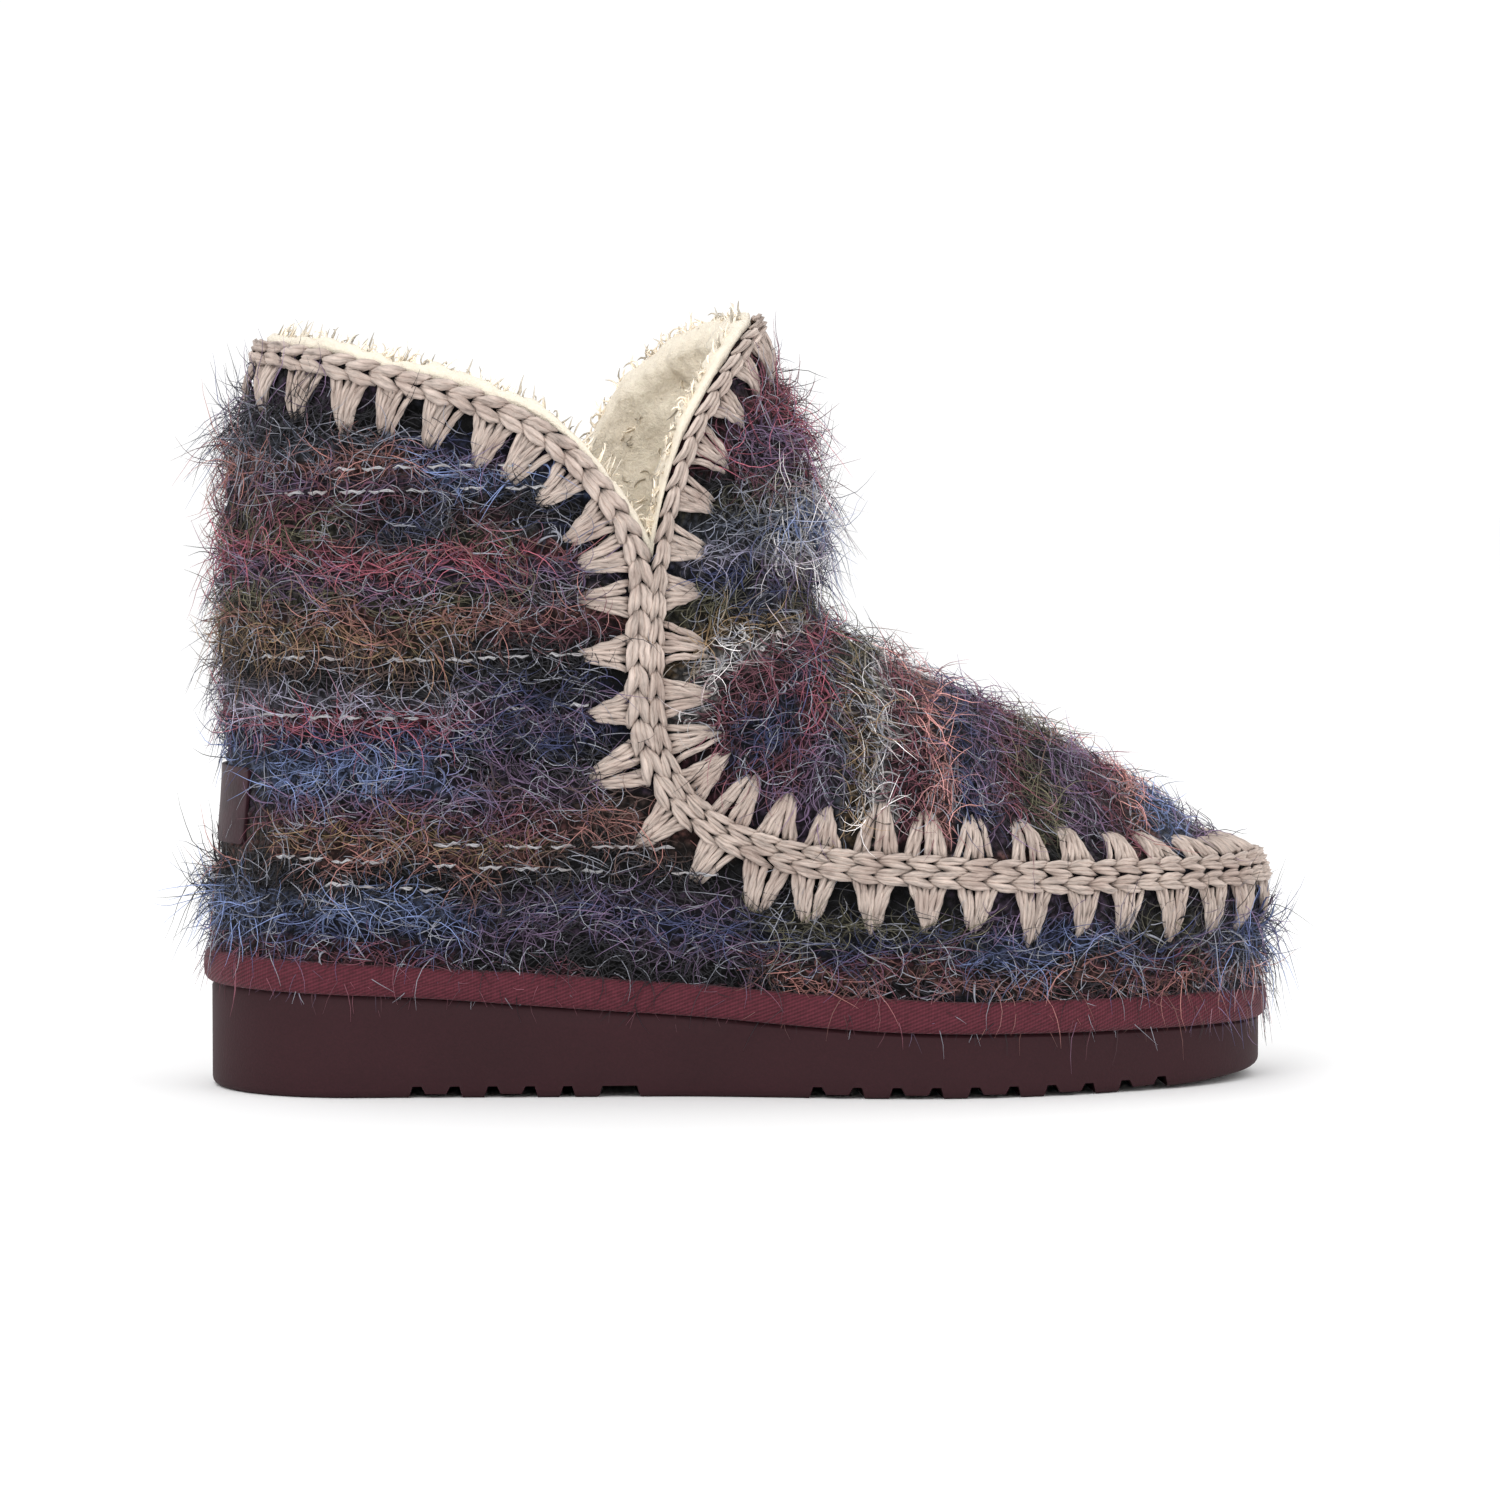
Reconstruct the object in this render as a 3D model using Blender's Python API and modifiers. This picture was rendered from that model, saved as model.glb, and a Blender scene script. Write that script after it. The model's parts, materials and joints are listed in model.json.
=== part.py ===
"""A hollow right mukluk boot: knitted upper, crocheted chains, rolled tape and a foam sole.

Metres, +Z up. +X runs from heel to toe and +Y to the inner side of the foot. While the
pieces are made, X is 0 at the heel end of the sole and Z is 0 on the floor. At the end an
empty that carries them all moves the origin to the middle of the boot's base.
"""

import math

import bmesh
import bpy
import numpy as np

# Driving sizes of the boot
FOOT_LENGTH = 0.262
BALL_WIDTH = 0.098
BOOT_HEIGHT = 0.190
HEEL_SOLE = 0.026
FOREFOOT_SOLE = 0.0156
TOE_SPRING = 0.0025

# Thicknesses, widths and gaps of its pieces
CLEARANCE = 0.0003
CHAIN_GAP = 0.0004
UPPER_WALL = 0.0035
SOLE_LIP = 0.0010
SOLE_BEVEL = 0.0020
SOLE_DRAFT = 0.0006
TAPE_HEIGHT = 0.0080
TAPE_THICKNESS = 0.0027
CHAIN_THICKNESS = 0.0038
FOOT_CHAIN_WIDTH = 0.0048
SHAFT_CHAIN_WIDTH = 0.0068
APRON_CHAIN_WIDTH = 0.0044
INSOLE_THICKNESS = 0.0050
INSOLE_FIT = 0.0006
LUG_DEPTH = 0.0029
LUG_STEP = 0.0010
HEEL_LUG_PITCH = 0.0092
BALL_LUG_PITCH = 0.0096
GROOVE_WIDTH = 0.0042
GROOVE_SLANT = 0.0010
ARCH_RECESS_WIDTH = 0.0105
PATCH_WIDTH = 0.042
PATCH_HEIGHT = 0.019
PATCH_THICKNESS = 0.0011
PATCH_LEVEL = 0.315

UPPER_HEIGHT = BOOT_HEIGHT - FOREFOOT_SOLE

# Counts of the meshes' columns and rows
HEEL_COLUMNS = 23
TOE_COLUMNS = 12
RIM_ROWS = 6
SOLE_COLUMNS = 36
EDGE_POINTS = 160
EASING_PASSES = 24
QUARTER_CHAIN_POINTS = 140
APRON_CHAIN_POINTS = 112
PATCH_COLUMNS = 9

# Level slices of the upper. Level is a share of the upper's height above the forefoot sole.
# Back and front are where the slice starts and ends, and the arcs are how far its round
# ends reach in, all shares of the foot's length. The rest are half widths at four stations
# along the foot, as shares of the ball's width.
SECTION_COLUMNS = (
    "level", "back", "front", "heel_arc", "toe_arc", "heel", "waist", "ball", "toe",
)
SECTIONS = (
    (-0.092, 0.0038, 1.0030, 0.130, 0.221, 0.345, 0.357, 0.478, 0.418),
    (0.056, 0.0038, 1.0038, 0.130, 0.221, 0.350, 0.362, 0.483, 0.423),
    (0.130, 0.0038, 1.0069, 0.134, 0.218, 0.362, 0.378, 0.500, 0.434),
    (0.175, 0.0046, 1.0061, 0.134, 0.218, 0.367, 0.388, 0.505, 0.439),
    (0.221, 0.0076, 0.9981, 0.134, 0.229, 0.367, 0.393, 0.500, 0.434),
    (0.241, 0.0092, 0.9828, 0.134, 0.247, 0.365, 0.393, 0.498, 0.434),
    (0.256, 0.0107, 0.9560, 0.134, 0.267, 0.362, 0.393, 0.495, 0.434),
    (0.290, 0.0126, 0.9237, 0.134, 0.298, 0.357, 0.393, 0.485, 0.429),
    (0.325, 0.0145, 0.8905, 0.137, 0.321, 0.352, 0.393, 0.474, 0.429),
    (0.370, 0.0160, 0.8378, 0.141, 0.336, 0.347, 0.393, 0.464, 0.424),
    (0.416, 0.0160, 0.7779, 0.149, 0.336, 0.347, 0.393, 0.449, 0.419),
    (0.462, 0.0153, 0.7118, 0.160, 0.321, 0.352, 0.393, 0.434, 0.414),
    (0.508, 0.0145, 0.6469, 0.179, 0.298, 0.362, 0.398, 0.424, 0.409),
    (0.542, 0.0137, 0.6031, 0.198, 0.275, 0.372, 0.403, 0.414, 0.409),
    (0.571, 0.0134, 0.5763, 0.214, 0.267, 0.378, 0.403, 0.409, 0.409),
    (0.611, 0.0134, 0.5698, 0.229, 0.267, 0.388, 0.403, 0.408, 0.408),
    (0.685, 0.0145, 0.5744, 0.252, 0.275, 0.398, 0.403, 0.403, 0.403),
    (0.754, 0.0183, 0.5706, 0.267, 0.275, 0.403, 0.403, 0.403, 0.403),
    (0.829, 0.0272, 0.5592, 0.267, 0.260, 0.398, 0.398, 0.398, 0.398),
    (0.897, 0.0420, 0.5420, 0.252, 0.237, 0.393, 0.393, 0.393, 0.393),
    (0.966, 0.0580, 0.5191, 0.229, 0.221, 0.388, 0.388, 0.388, 0.388),
    (1.011, 0.0670, 0.5057, 0.218, 0.218, 0.383, 0.383, 0.383, 0.383),
)
STATIONS = (0.153, 0.401, 0.687, 0.897)
LOW_ROW_LEVEL = 0.130
YOKE_LEVEL = 0.611

# The foot's centre line bends towards the inner side at the toe: share of the foot's
# length, then share of the ball's width.
CENTRE_LINE = ((0.0, 0.0), (0.42, -0.020), (0.706, -0.010), (0.897, 0.036), (1.01, 0.056))

# How much of the heel's extra sole is left at each share of the foot's length
HEEL_LIFT = (
    (0.0, 1.0), (0.06, 0.97), (0.18, 0.86), (0.36, 0.54), (0.455, 0.38),
    (0.547, 0.19), (0.64, 0.05), (0.73, 0.0), (1.01, -0.06),
)
SPRING_START = 0.80

# The seam between quarter and apron, from the notch to the toe, and the two rims. Outer
# and inner are shares of the foot's length on each side of the boot.
EDGE_COLUMNS = ("outer", "inner", "level")
SEAM = (
    (0.410, 0.352, 0.672), (0.407, 0.350, 0.620), (0.405, 0.352, 0.540),
    (0.406, 0.359, 0.460), (0.412, 0.372, 0.400), (0.426, 0.392, 0.352),
    (0.445, 0.416, 0.317), (0.470, 0.447, 0.287), (0.501, 0.484, 0.267),
    (0.547, 0.535, 0.249), (0.593, 0.585, 0.240), (0.639, 0.634, 0.235),
    (0.732, 0.730, 0.226), (0.828, 0.828, 0.217), (0.928, 0.928, 0.214),
    (1.020, 1.020, 0.212),
)
BACK_RIM = (
    (0.058, 0.058, 0.966), (0.099, 0.096, 0.958), (0.140, 0.132, 0.944),
    (0.181, 0.167, 0.930), (0.239, 0.213, 0.906), (0.286, 0.250, 0.879),
    (0.322, 0.280, 0.848), (0.348, 0.301, 0.812), (0.368, 0.317, 0.776),
    (0.386, 0.332, 0.738), (0.400, 0.343, 0.702), (0.410, 0.352, 0.672),
)
FRONT_RIM = (
    (0.410, 0.352, 0.672), (0.414, 0.354, 0.712), (0.421, 0.358, 0.756),
    (0.429, 0.365, 0.796), (0.439, 0.377, 0.838), (0.453, 0.392, 0.878),
    (0.470, 0.415, 0.920), (0.493, 0.452, 0.967), (0.511, 0.511, 1.000),
)

# The quarter's chain is wider on the shaft: levels between which it widens
CHAIN_WIDENS_FROM = 0.28
CHAIN_WIDENS_TO = 0.42

# Lug grooves: the first groove's place as a share of the foot's length, and how many
HEEL_GROOVES_START = 0.191
HEEL_GROOVES = 5
ARCH_RECESS_START = 0.380
BALL_GROOVES_START = 0.563
BALL_GROOVES = 10

# Cross sections, as shares of a piece's width and thickness
CHAIN_SECTION = ((-0.50, 0.35), (-0.30, 0.0), (0.30, 0.0), (0.50, 0.35), (0.28, 1.0), (-0.28, 1.0))
TAPE_SECTION = (
    (-0.50, 0.0), (0.50, 0.0), (0.50, 0.45), (0.34, 0.86), (0.08, 1.0), (-0.26, 0.95), (-0.48, 0.60),
)

# The sole's lower edge, inwards and up, as shares of the bevel
SOLE_BEVEL_CURVE = ((1.0, 0.0), (0.3, 0.3), (0.0, 1.0))

# The patch's rows, lowest first: share of its height, then share of its width
PATCH_OUTLINE = ((-0.5, 0.90), (-0.36, 1.0), (0.0, 1.0), (0.36, 1.0), (0.5, 0.90))

# Step for reading slopes, and rounds for finding a height that depends on its own place
SMALL_STEP = 1e-4
SETTLING_ROUNDS = 60


def smooth(places, values, wanted):
    """Read a curve that passes through the table's points and never overshoots them."""
    places = np.asarray(places, float)
    values = np.asarray(values, float)
    steps = np.diff(places)
    slopes = np.diff(values) / steps
    tangents = np.zeros(len(values))
    tangents[0], tangents[-1] = slopes[0], slopes[-1]
    rising = slopes[:-1] * slopes[1:] > 0
    pair = np.where(rising, slopes[:-1] + slopes[1:], 1.0)
    tangents[1:-1] = np.where(rising, 2 * slopes[:-1] * slopes[1:] / pair, 0.0)
    wanted = np.clip(wanted, places[0], places[-1])
    i = np.clip(np.searchsorted(places, wanted, side="right") - 1, 0, len(steps) - 1)
    f = (wanted - places[i]) / steps[i]
    rise = f * f * (3 - 2 * f)
    return (
        values[i] * (1 - rise)
        + values[i + 1] * rise
        + tangents[i] * steps[i] * f * (1 - f) ** 2
        - tangents[i + 1] * steps[i] * f * f * (1 - f)
    )


def slice_at(z):
    """Lengths and half widths of the upper's outline at height z."""
    level = (np.asarray(z, float) - FOREFOOT_SOLE) / UPPER_HEIGHT
    table = np.array(SECTIONS)
    found = {}
    for name, values in zip(SECTION_COLUMNS, table.T):
        size = FOOT_LENGTH if name in ("back", "front", "heel_arc", "toe_arc") else BALL_WIDTH
        found[name] = smooth(table[:, 0], values, level) * size
    return found


def half_width(cut, x):
    """Half width of a slice at x, before its ends are rounded."""
    names = ("heel", "waist", "ball", "toe")
    width = cut["heel"]
    for start, end, name in zip(STATIONS, STATIONS[1:], names[1:]):
        f = np.clip((x / FOOT_LENGTH - start) / (end - start), 0, 1)
        width = width + (cut[name] - width) * f * f * (3 - 2 * f)
    return width


def centre_line(x):
    """Y of the foot's centre line at x."""
    table = np.array(CENTRE_LINE)
    return smooth(table[:, 0], table[:, 1], x / FOOT_LENGTH) * BALL_WIDTH


def quarter_arc(reach, width):
    """Length of a quarter of an ellipse."""
    root = np.sqrt((3 * reach + width) * (reach + 3 * width))
    return math.pi / 4 * (3 * (reach + width) - root)


def half_girth(cut):
    """Length of a slice's outline from heel to toe along one side."""
    side = cut["front"] - cut["back"] - cut["heel_arc"] - cut["toe_arc"]
    return quarter_arc(cut["heel_arc"], cut["heel"]) + side + quarter_arc(cut["toe_arc"], cut["toe"])


def arc_shares(cut):
    """Where the heel's arc ends and the toe's begins, as shares of half a slice's outline."""
    whole = half_girth(cut)
    heel = quarter_arc(cut["heel_arc"], cut["heel"])
    toe = quarter_arc(cut["toe_arc"], cut["toe"])
    return heel / whole, 1 - toe / whole


def surface(turn, z):
    """Outer face of the upper. Turn runs 0 at the heel, outer side, 1 at the toe, inner side, 2."""
    turn, z = np.broadcast_arrays(np.mod(turn, 2.0), np.asarray(z, float))
    cut = slice_at(z)
    side = np.where(turn < 1, -1.0, 1.0)
    t = np.where(turn < 1, turn, 2 - turn)
    heel_end, toe_start = arc_shares(cut)
    heel_angle = np.clip(t / heel_end, 0, 1) * math.pi / 2
    toe_angle = np.clip((1 - t) / (1 - toe_start), 0, 1) * math.pi / 2
    along = np.clip((t - heel_end) / (toe_start - heel_end), 0, 1)
    flat_start = cut["back"] + cut["heel_arc"]
    flat_end = cut["front"] - cut["toe_arc"]
    x = flat_start + (flat_end - flat_start) * along
    x = x - cut["heel_arc"] * np.cos(heel_angle) + cut["toe_arc"] * np.cos(toe_angle)
    roundness = np.sin(heel_angle) * np.sin(toe_angle)
    y = centre_line(x) + side * half_width(cut, x) * roundness
    return np.stack([x, y, z], axis=-1)


def turn_at(x, z, side):
    """The turn at which the outer face has this x, on the outer (-1) or inner (+1) side."""
    cut = slice_at(z)
    heel_end, toe_start = arc_shares(cut)
    flat_start = cut["back"] + cut["heel_arc"]
    flat_end = cut["front"] - cut["toe_arc"]
    heel_angle = np.arccos(np.clip((flat_start - x) / cut["heel_arc"], 0, 1))
    toe_angle = np.arccos(np.clip((x - flat_end) / cut["toe_arc"], 0, 1))
    along = np.clip((x - flat_start) / (flat_end - flat_start), 0, 1)
    t = heel_end + (toe_start - heel_end) * along
    t = np.where(x < flat_start, heel_end * heel_angle * 2 / math.pi, t)
    t = np.where(x > flat_end, 1 - (1 - toe_start) * toe_angle * 2 / math.pi, t)
    return t if side < 0 else 2 - t


def slopes_of(turn, z):
    """How the outer face runs along turn and up z."""
    along = (surface(turn + SMALL_STEP, z) - surface(turn - SMALL_STEP, z)) / (2 * SMALL_STEP)
    up = (surface(turn, z + SMALL_STEP) - surface(turn, z - SMALL_STEP)) / (2 * SMALL_STEP)
    return along, up


def unit(vectors):
    return vectors / np.linalg.norm(vectors, axis=-1, keepdims=True)


def outward(turn, z):
    along, up = slopes_of(turn, z)
    return unit(np.cross(along, up))


def slide(turn, z, way):
    """Move points of the outer face by vectors that lie along it, in two half steps."""
    for _ in range(2):
        along, up = slopes_of(turn, z)
        length, skew, height = (along * along).sum(-1), (along * up).sum(-1), (up * up).sum(-1)
        forward, upward = (along * way).sum(-1) / 2, (up * way).sum(-1) / 2
        area = length * height - skew * skew
        turn = turn + (forward * height - upward * skew) / area
        z = z + (upward * length - forward * skew) / area
    return turn, z


def feather(x):
    """Height of the sole's top at x, where the upper meets it."""
    table = np.array(HEEL_LIFT)
    return FOREFOOT_SOLE + (HEEL_SOLE - FOREFOOT_SOLE) * smooth(table[:, 0], table[:, 1], x / FOOT_LENGTH)


def ground(x):
    """Height of the sole's underside at x: flat, then rising to the toe."""
    f = np.clip((x / FOOT_LENGTH - SPRING_START) / (1 - SPRING_START), 0, 1.1)
    return TOE_SPRING * f * f


def height_of(level):
    return FOREFOOT_SOLE + UPPER_HEIGHT * level


def edge_side(table, side):
    """The x and z of a seam or rim table on the outer (-1) or inner (+1) side."""
    named = dict(zip(EDGE_COLUMNS, np.array(table).T))
    return named["outer" if side < 0 else "inner"] * FOOT_LENGTH, height_of(named["level"])


def rim_height(turn):
    """Height of the upper's rim at each turn, with its notch on both sides."""
    side_of = np.where(np.mod(turn, 2.0) < 1, -1, 1)
    z = np.full(len(turn), height_of(1.0))
    for _ in range(SETTLING_ROUNDS):
        x = surface(turn, z)[:, 0]
        wanted = np.empty(len(turn))
        for side in (-1, 1):
            back_x, back_z = edge_side(BACK_RIM, side)
            front_x, front_z = edge_side(FRONT_RIM, side)
            here = side_of == side
            behind = smooth(back_x, back_z, x[here])
            ahead = smooth(front_x, front_z, x[here])
            wanted[here] = np.where(x[here] < back_x[-1], behind, ahead)
        z = (z + wanted) / 2
    return z


def notch_turn(side):
    x, z = edge_side(SEAM, side)
    return float(turn_at(x[0], z[0], side))


def columns():
    """Turns of the upper's columns, evenly spread between heel, notches and toe."""
    outer, inner = notch_turn(-1), notch_turn(1)
    pieces = [
        np.linspace(0, outer, HEEL_COLUMNS, endpoint=False),
        np.linspace(outer, 1, TOE_COLUMNS, endpoint=False),
        np.linspace(1, inner, TOE_COLUMNS, endpoint=False),
        np.linspace(inner, 2, HEEL_COLUMNS, endpoint=False),
    ]
    return np.concatenate(pieces)


def foot_ring(turn):
    """The upper's outline where it stands on the sole."""
    z = np.full(len(turn), FOREFOOT_SOLE)
    for _ in range(SETTLING_ROUNDS):
        z = feather(surface(turn, z)[:, 0])
    return surface(turn, z)


def widened(ring, distance):
    """A closed level ring moved out by a distance, at its own heights."""
    along = np.roll(ring, -1, axis=0) - np.roll(ring, 1, axis=0)
    along[:, 2] = 0
    out = unit(np.stack([along[:, 1], -along[:, 0], along[:, 2]], axis=1))
    return ring + out * distance


def make_object(name, mesh_builder, color, roughness):
    """A mesh object in the boot's collection, with a material of its own."""
    mesh = bpy.data.meshes.new(name)
    mesh_builder.to_mesh(mesh)
    mesh_builder.free()
    obj = bpy.data.objects.new(name, mesh)
    bpy.data.collections["mukluk_boot"].objects.link(obj)
    material = bpy.data.materials.new(name)
    material.use_nodes = True
    shader = material.node_tree.nodes["Principled BSDF"]
    shader.inputs["Base Color"].default_value = (*color, 1.0)
    shader.inputs["Roughness"].default_value = roughness
    shader.inputs["Metallic"].default_value = 0.0
    mesh.materials.append(material)
    mesh.shade_smooth()
    mesh.set_sharp_from_angle(angle=math.radians(40))
    return obj


def lofted(rings, closed_rings=True, closed_loft=False):
    """A quad mesh through rings of equal length, and its vertices ring by ring."""
    bm = bmesh.new()
    grid = [[bm.verts.new(point) for point in ring] for ring in rings]
    count = len(grid[0])
    last_ring = len(grid) if closed_loft else len(grid) - 1
    last_column = count if closed_rings else count - 1
    for i in range(last_ring):
        low, high = grid[i], grid[(i + 1) % len(grid)]
        for j in range(last_column):
            k = (j + 1) % count
            bm.faces.new((low[j], low[k], high[k], high[j]))
    return bm, grid


def cap_across(bm, ring, upward):
    """Close a ring of the columns with strips between its outer and inner sides."""
    count = len(ring)
    half = count // 2
    for j in range(half):
        around = [ring[j], ring[j + 1], ring[(count - j - 1) % count], ring[(count - j) % count]]
        corners = list(dict.fromkeys(around))
        bm.faces.new(corners if upward else corners[::-1])


def solid_from_rings(rings):
    """A closed solid from level rings, lowest first."""
    bm, grid = lofted(rings)
    cap_across(bm, grid[0], upward=False)
    cap_across(bm, grid[-1], upward=True)
    return bm


def ring_through(corners_rings):
    """A closed loop of material through rings that trace the corners of its cross section."""
    bm, _ = lofted(corners_rings, closed_loft=True)
    bmesh.ops.recalc_face_normals(bm, faces=bm.faces)
    return bm


def make_upper():
    """One wall from the sole to the rims, open on top and underneath."""
    turn = columns()
    low_z = foot_ring(turn)[:, 2] + CLEARANCE
    first_z = height_of(LOW_ROW_LEVEL)
    heights = [low_z, (low_z + first_z) / 2]
    for row in SECTIONS:
        if LOW_ROW_LEVEL <= row[0] <= YOKE_LEVEL:
            heights.append(np.full(len(turn), height_of(row[0])))
    yoke, rim = heights[-1], rim_height(turn)
    for i in range(1, RIM_ROWS + 1):
        heights.append(yoke + (rim - yoke) * i / RIM_ROWS)
    bm, _ = lofted([surface(turn, z) for z in heights])
    upper = make_object("upper", bm, (0.16, 0.14, 0.22), 0.95)
    wall = upper.modifiers.new("wall", "SOLIDIFY")
    wall.thickness = UPPER_WALL
    wall.offset = -1
    wall.use_even_offset = True
    wall.use_quality_normals = True


def edge_path(rim_table, side):
    """Turns and heights along one side's rim, from its far end to the notch, and seam to the toe."""
    rim_x, rim_z = edge_side(rim_table, side)
    seam_x, seam_z = edge_side(SEAM, side)
    if rim_table is FRONT_RIM:
        rim_x, rim_z = rim_x[::-1], rim_z[::-1]
    x, z = np.concatenate([rim_x, seam_x[1:]]), np.concatenate([rim_z, seam_z[1:]])
    length = np.concatenate([[0], np.cumsum(np.hypot(np.diff(x), np.diff(z)))])
    wanted = np.linspace(0, length[-1], EDGE_POINTS)
    x, z = smooth(length, x, wanted), smooth(length, z, wanted)
    for _ in range(EASING_PASSES):
        x[1:-1] = (x[:-2] + 2 * x[1:-1] + x[2:]) / 4
        z[1:-1] = (z[:-2] + 2 * z[1:-1] + z[2:]) / 4
    return turn_at(x, z, side), z


def panel_edge(rim_table, lap, count):
    """A panel's closed edge, over the toe and along both rims, as points at even distances.

    Lap is how far the turn runs before the loop closes: 2 round the heel, 0 for the apron.
    """
    outer_turn, outer_z = edge_path(rim_table, -1)
    inner_turn, inner_z = edge_path(rim_table, 1)
    turn = np.concatenate([outer_turn, inner_turn[::-1], [outer_turn[0] + lap]])
    z = np.concatenate([outer_z, inner_z[::-1], [outer_z[0]]])
    steps = np.linalg.norm(np.diff(surface(turn, z), axis=0), axis=1)
    length = np.concatenate([[0], np.cumsum(steps)])
    wanted = np.linspace(0, length[-1], count, endpoint=False)
    return np.interp(wanted, length, turn), np.interp(wanted, length, z)


def along_loop(points):
    return unit(np.roll(points, -1, axis=0) - np.roll(points, 1, axis=0))


def make_chain(name, turn, z, widths, panel_side):
    """A crocheted chain on the outer face, beside its edge. Panel side is which way its panel lies."""
    into_panel = np.cross(along_loop(surface(turn, z)), outward(turn, z)) * panel_side
    reach = (widths + CHAIN_GAP) / 2
    turn, z = slide(turn, z, into_panel * reach[:, None])
    centres, outs = surface(turn, z), outward(turn, z)
    across = np.cross(along_loop(centres), outs)
    rings = []
    for share_across, share_out in CHAIN_SECTION:
        aside = across * (widths * share_across)[:, None]
        rings.append(centres + aside + outs * (CHAIN_GAP + CHAIN_THICKNESS * share_out))
    make_object(name, ring_through(rings), (0.55, 0.44, 0.40), 0.9)


def make_quarter_chain():
    turn, z = panel_edge(BACK_RIM, 2, QUARTER_CHAIN_POINTS)
    low, high = height_of(CHAIN_WIDENS_FROM), height_of(CHAIN_WIDENS_TO)
    f = np.clip((z - low) / (high - low), 0, 1)
    widths = FOOT_CHAIN_WIDTH + (SHAFT_CHAIN_WIDTH - FOOT_CHAIN_WIDTH) * f * f * (3 - 2 * f)
    make_chain("quarter_chain", turn, z, widths, 1)


def make_apron_chain():
    turn, z = panel_edge(FRONT_RIM, 0, APRON_CHAIN_POINTS)
    make_chain("apron_chain", turn, z, np.full(len(turn), APRON_CHAIN_WIDTH), -1)


def make_rand_tape():
    """The tape rolled round the foot of the upper, over the sole's edge."""
    turn = columns()
    foot_z = foot_ring(turn)[:, 2] + CLEARANCE
    rings = []
    for share_up, share_out in TAPE_SECTION:
        z = foot_z + TAPE_HEIGHT * (share_up + 0.5)
        rings.append(surface(turn, z) + outward(turn, z) * (CLEARANCE + TAPE_THICKNESS * share_out))
    make_object("rand_tape", ring_through(rings), (0.20, 0.05, 0.07), 0.8)


def even_columns():
    """Turns that match on both sides, so that strips can cross from one to the other."""
    return np.arange(2 * SOLE_COLUMNS) / SOLE_COLUMNS


def at_heights(ring, z):
    return np.column_stack([ring[:, :2], z])


def make_outsole():
    """The foam sole: a bevelled edge, a slightly drawn-in top, and lug grooves cut across it."""
    foot = foot_ring(even_columns())
    widest = widened(foot, SOLE_LIP)
    rings = []
    for inset, rise in SOLE_BEVEL_CURVE:
        ring = widened(foot, SOLE_LIP - SOLE_BEVEL * inset)
        rings.append(at_heights(ring, ground(ring[:, 0]) + SOLE_BEVEL * rise))
    top = widened(foot, SOLE_LIP - SOLE_DRAFT)
    top = at_heights(top, feather(top[:, 0]))
    rings.append(at_heights(widest, (rings[-1][:, 2] + 3 * top[:, 2]) / 4))
    rings.append(top)
    outsole = make_object("outsole", solid_from_rings(rings), (0.065, 0.018, 0.025), 0.75)
    groups = (
        ("heel_grooves", HEEL_GROOVES_START, HEEL_GROOVES, HEEL_LUG_PITCH, GROOVE_WIDTH),
        ("arch_recess", ARCH_RECESS_START, 1, 0, ARCH_RECESS_WIDTH),
        ("ball_grooves", BALL_GROOVES_START, BALL_GROOVES, BALL_LUG_PITCH, GROOVE_WIDTH),
    )
    for name, start, count, pitch, width in groups:
        cut = outsole.modifiers.new(name, "BOOLEAN")
        cut.operation = "DIFFERENCE"
        cut.object = groove_cutter(name, start * FOOT_LENGTH, count, pitch, width)


def groove_cutter(name, start, count, pitch, width):
    """Grooves across the sole. Between them every second lug is cut a little shorter."""
    below = -BALL_WIDTH
    outline = [(start - width / 2, below)]
    for i in range(count):
        x = start + i * pitch
        crest = ground(x) + LUG_DEPTH
        shorter_before, shorter_after = i % 2 == 1, i % 2 == 0 and i < count - 1
        outline.append((x - width / 2, ground(x) + LUG_STEP if shorter_before else -CLEARANCE))
        outline.append((x - width / 2 + GROOVE_SLANT, crest))
        outline.append((x + width / 2 - GROOVE_SLANT, crest))
        outline.append((x + width / 2, ground(x) + LUG_STEP if shorter_after else -CLEARANCE))
    outline.append((start + (count - 1) * pitch + width / 2, below))
    bm = bmesh.new()
    face = bm.faces.new([bm.verts.new((x, -BALL_WIDTH, z)) for x, z in outline])
    moved = bmesh.ops.extrude_face_region(bm, geom=[face])["geom"]
    ends = [item for item in moved if isinstance(item, bmesh.types.BMVert)]
    bmesh.ops.translate(bm, verts=ends, vec=(0, 2 * BALL_WIDTH, 0))
    bmesh.ops.recalc_face_normals(bm, faces=bm.faces)
    mesh = bpy.data.meshes.new(name)
    bm.to_mesh(mesh)
    bm.free()
    cutter = bpy.data.objects.new(name, mesh)
    cutter.hide_render = True
    cutter.display_type = "WIRE"
    bpy.data.collections["cutters"].objects.link(cutter)
    return cutter


def make_insole():
    """The footbed that lies on the sole inside the wall."""
    foot = foot_ring(even_columns())
    inside = widened(foot, -(UPPER_WALL + CLEARANCE + INSOLE_FIT))
    low = at_heights(inside, feather(inside[:, 0]) + CLEARANCE)
    high = low + np.array([0, 0, INSOLE_THICKNESS])
    make_object("insole", solid_from_rings([low, high]), (0.75, 0.70, 0.62), 0.95)


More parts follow.
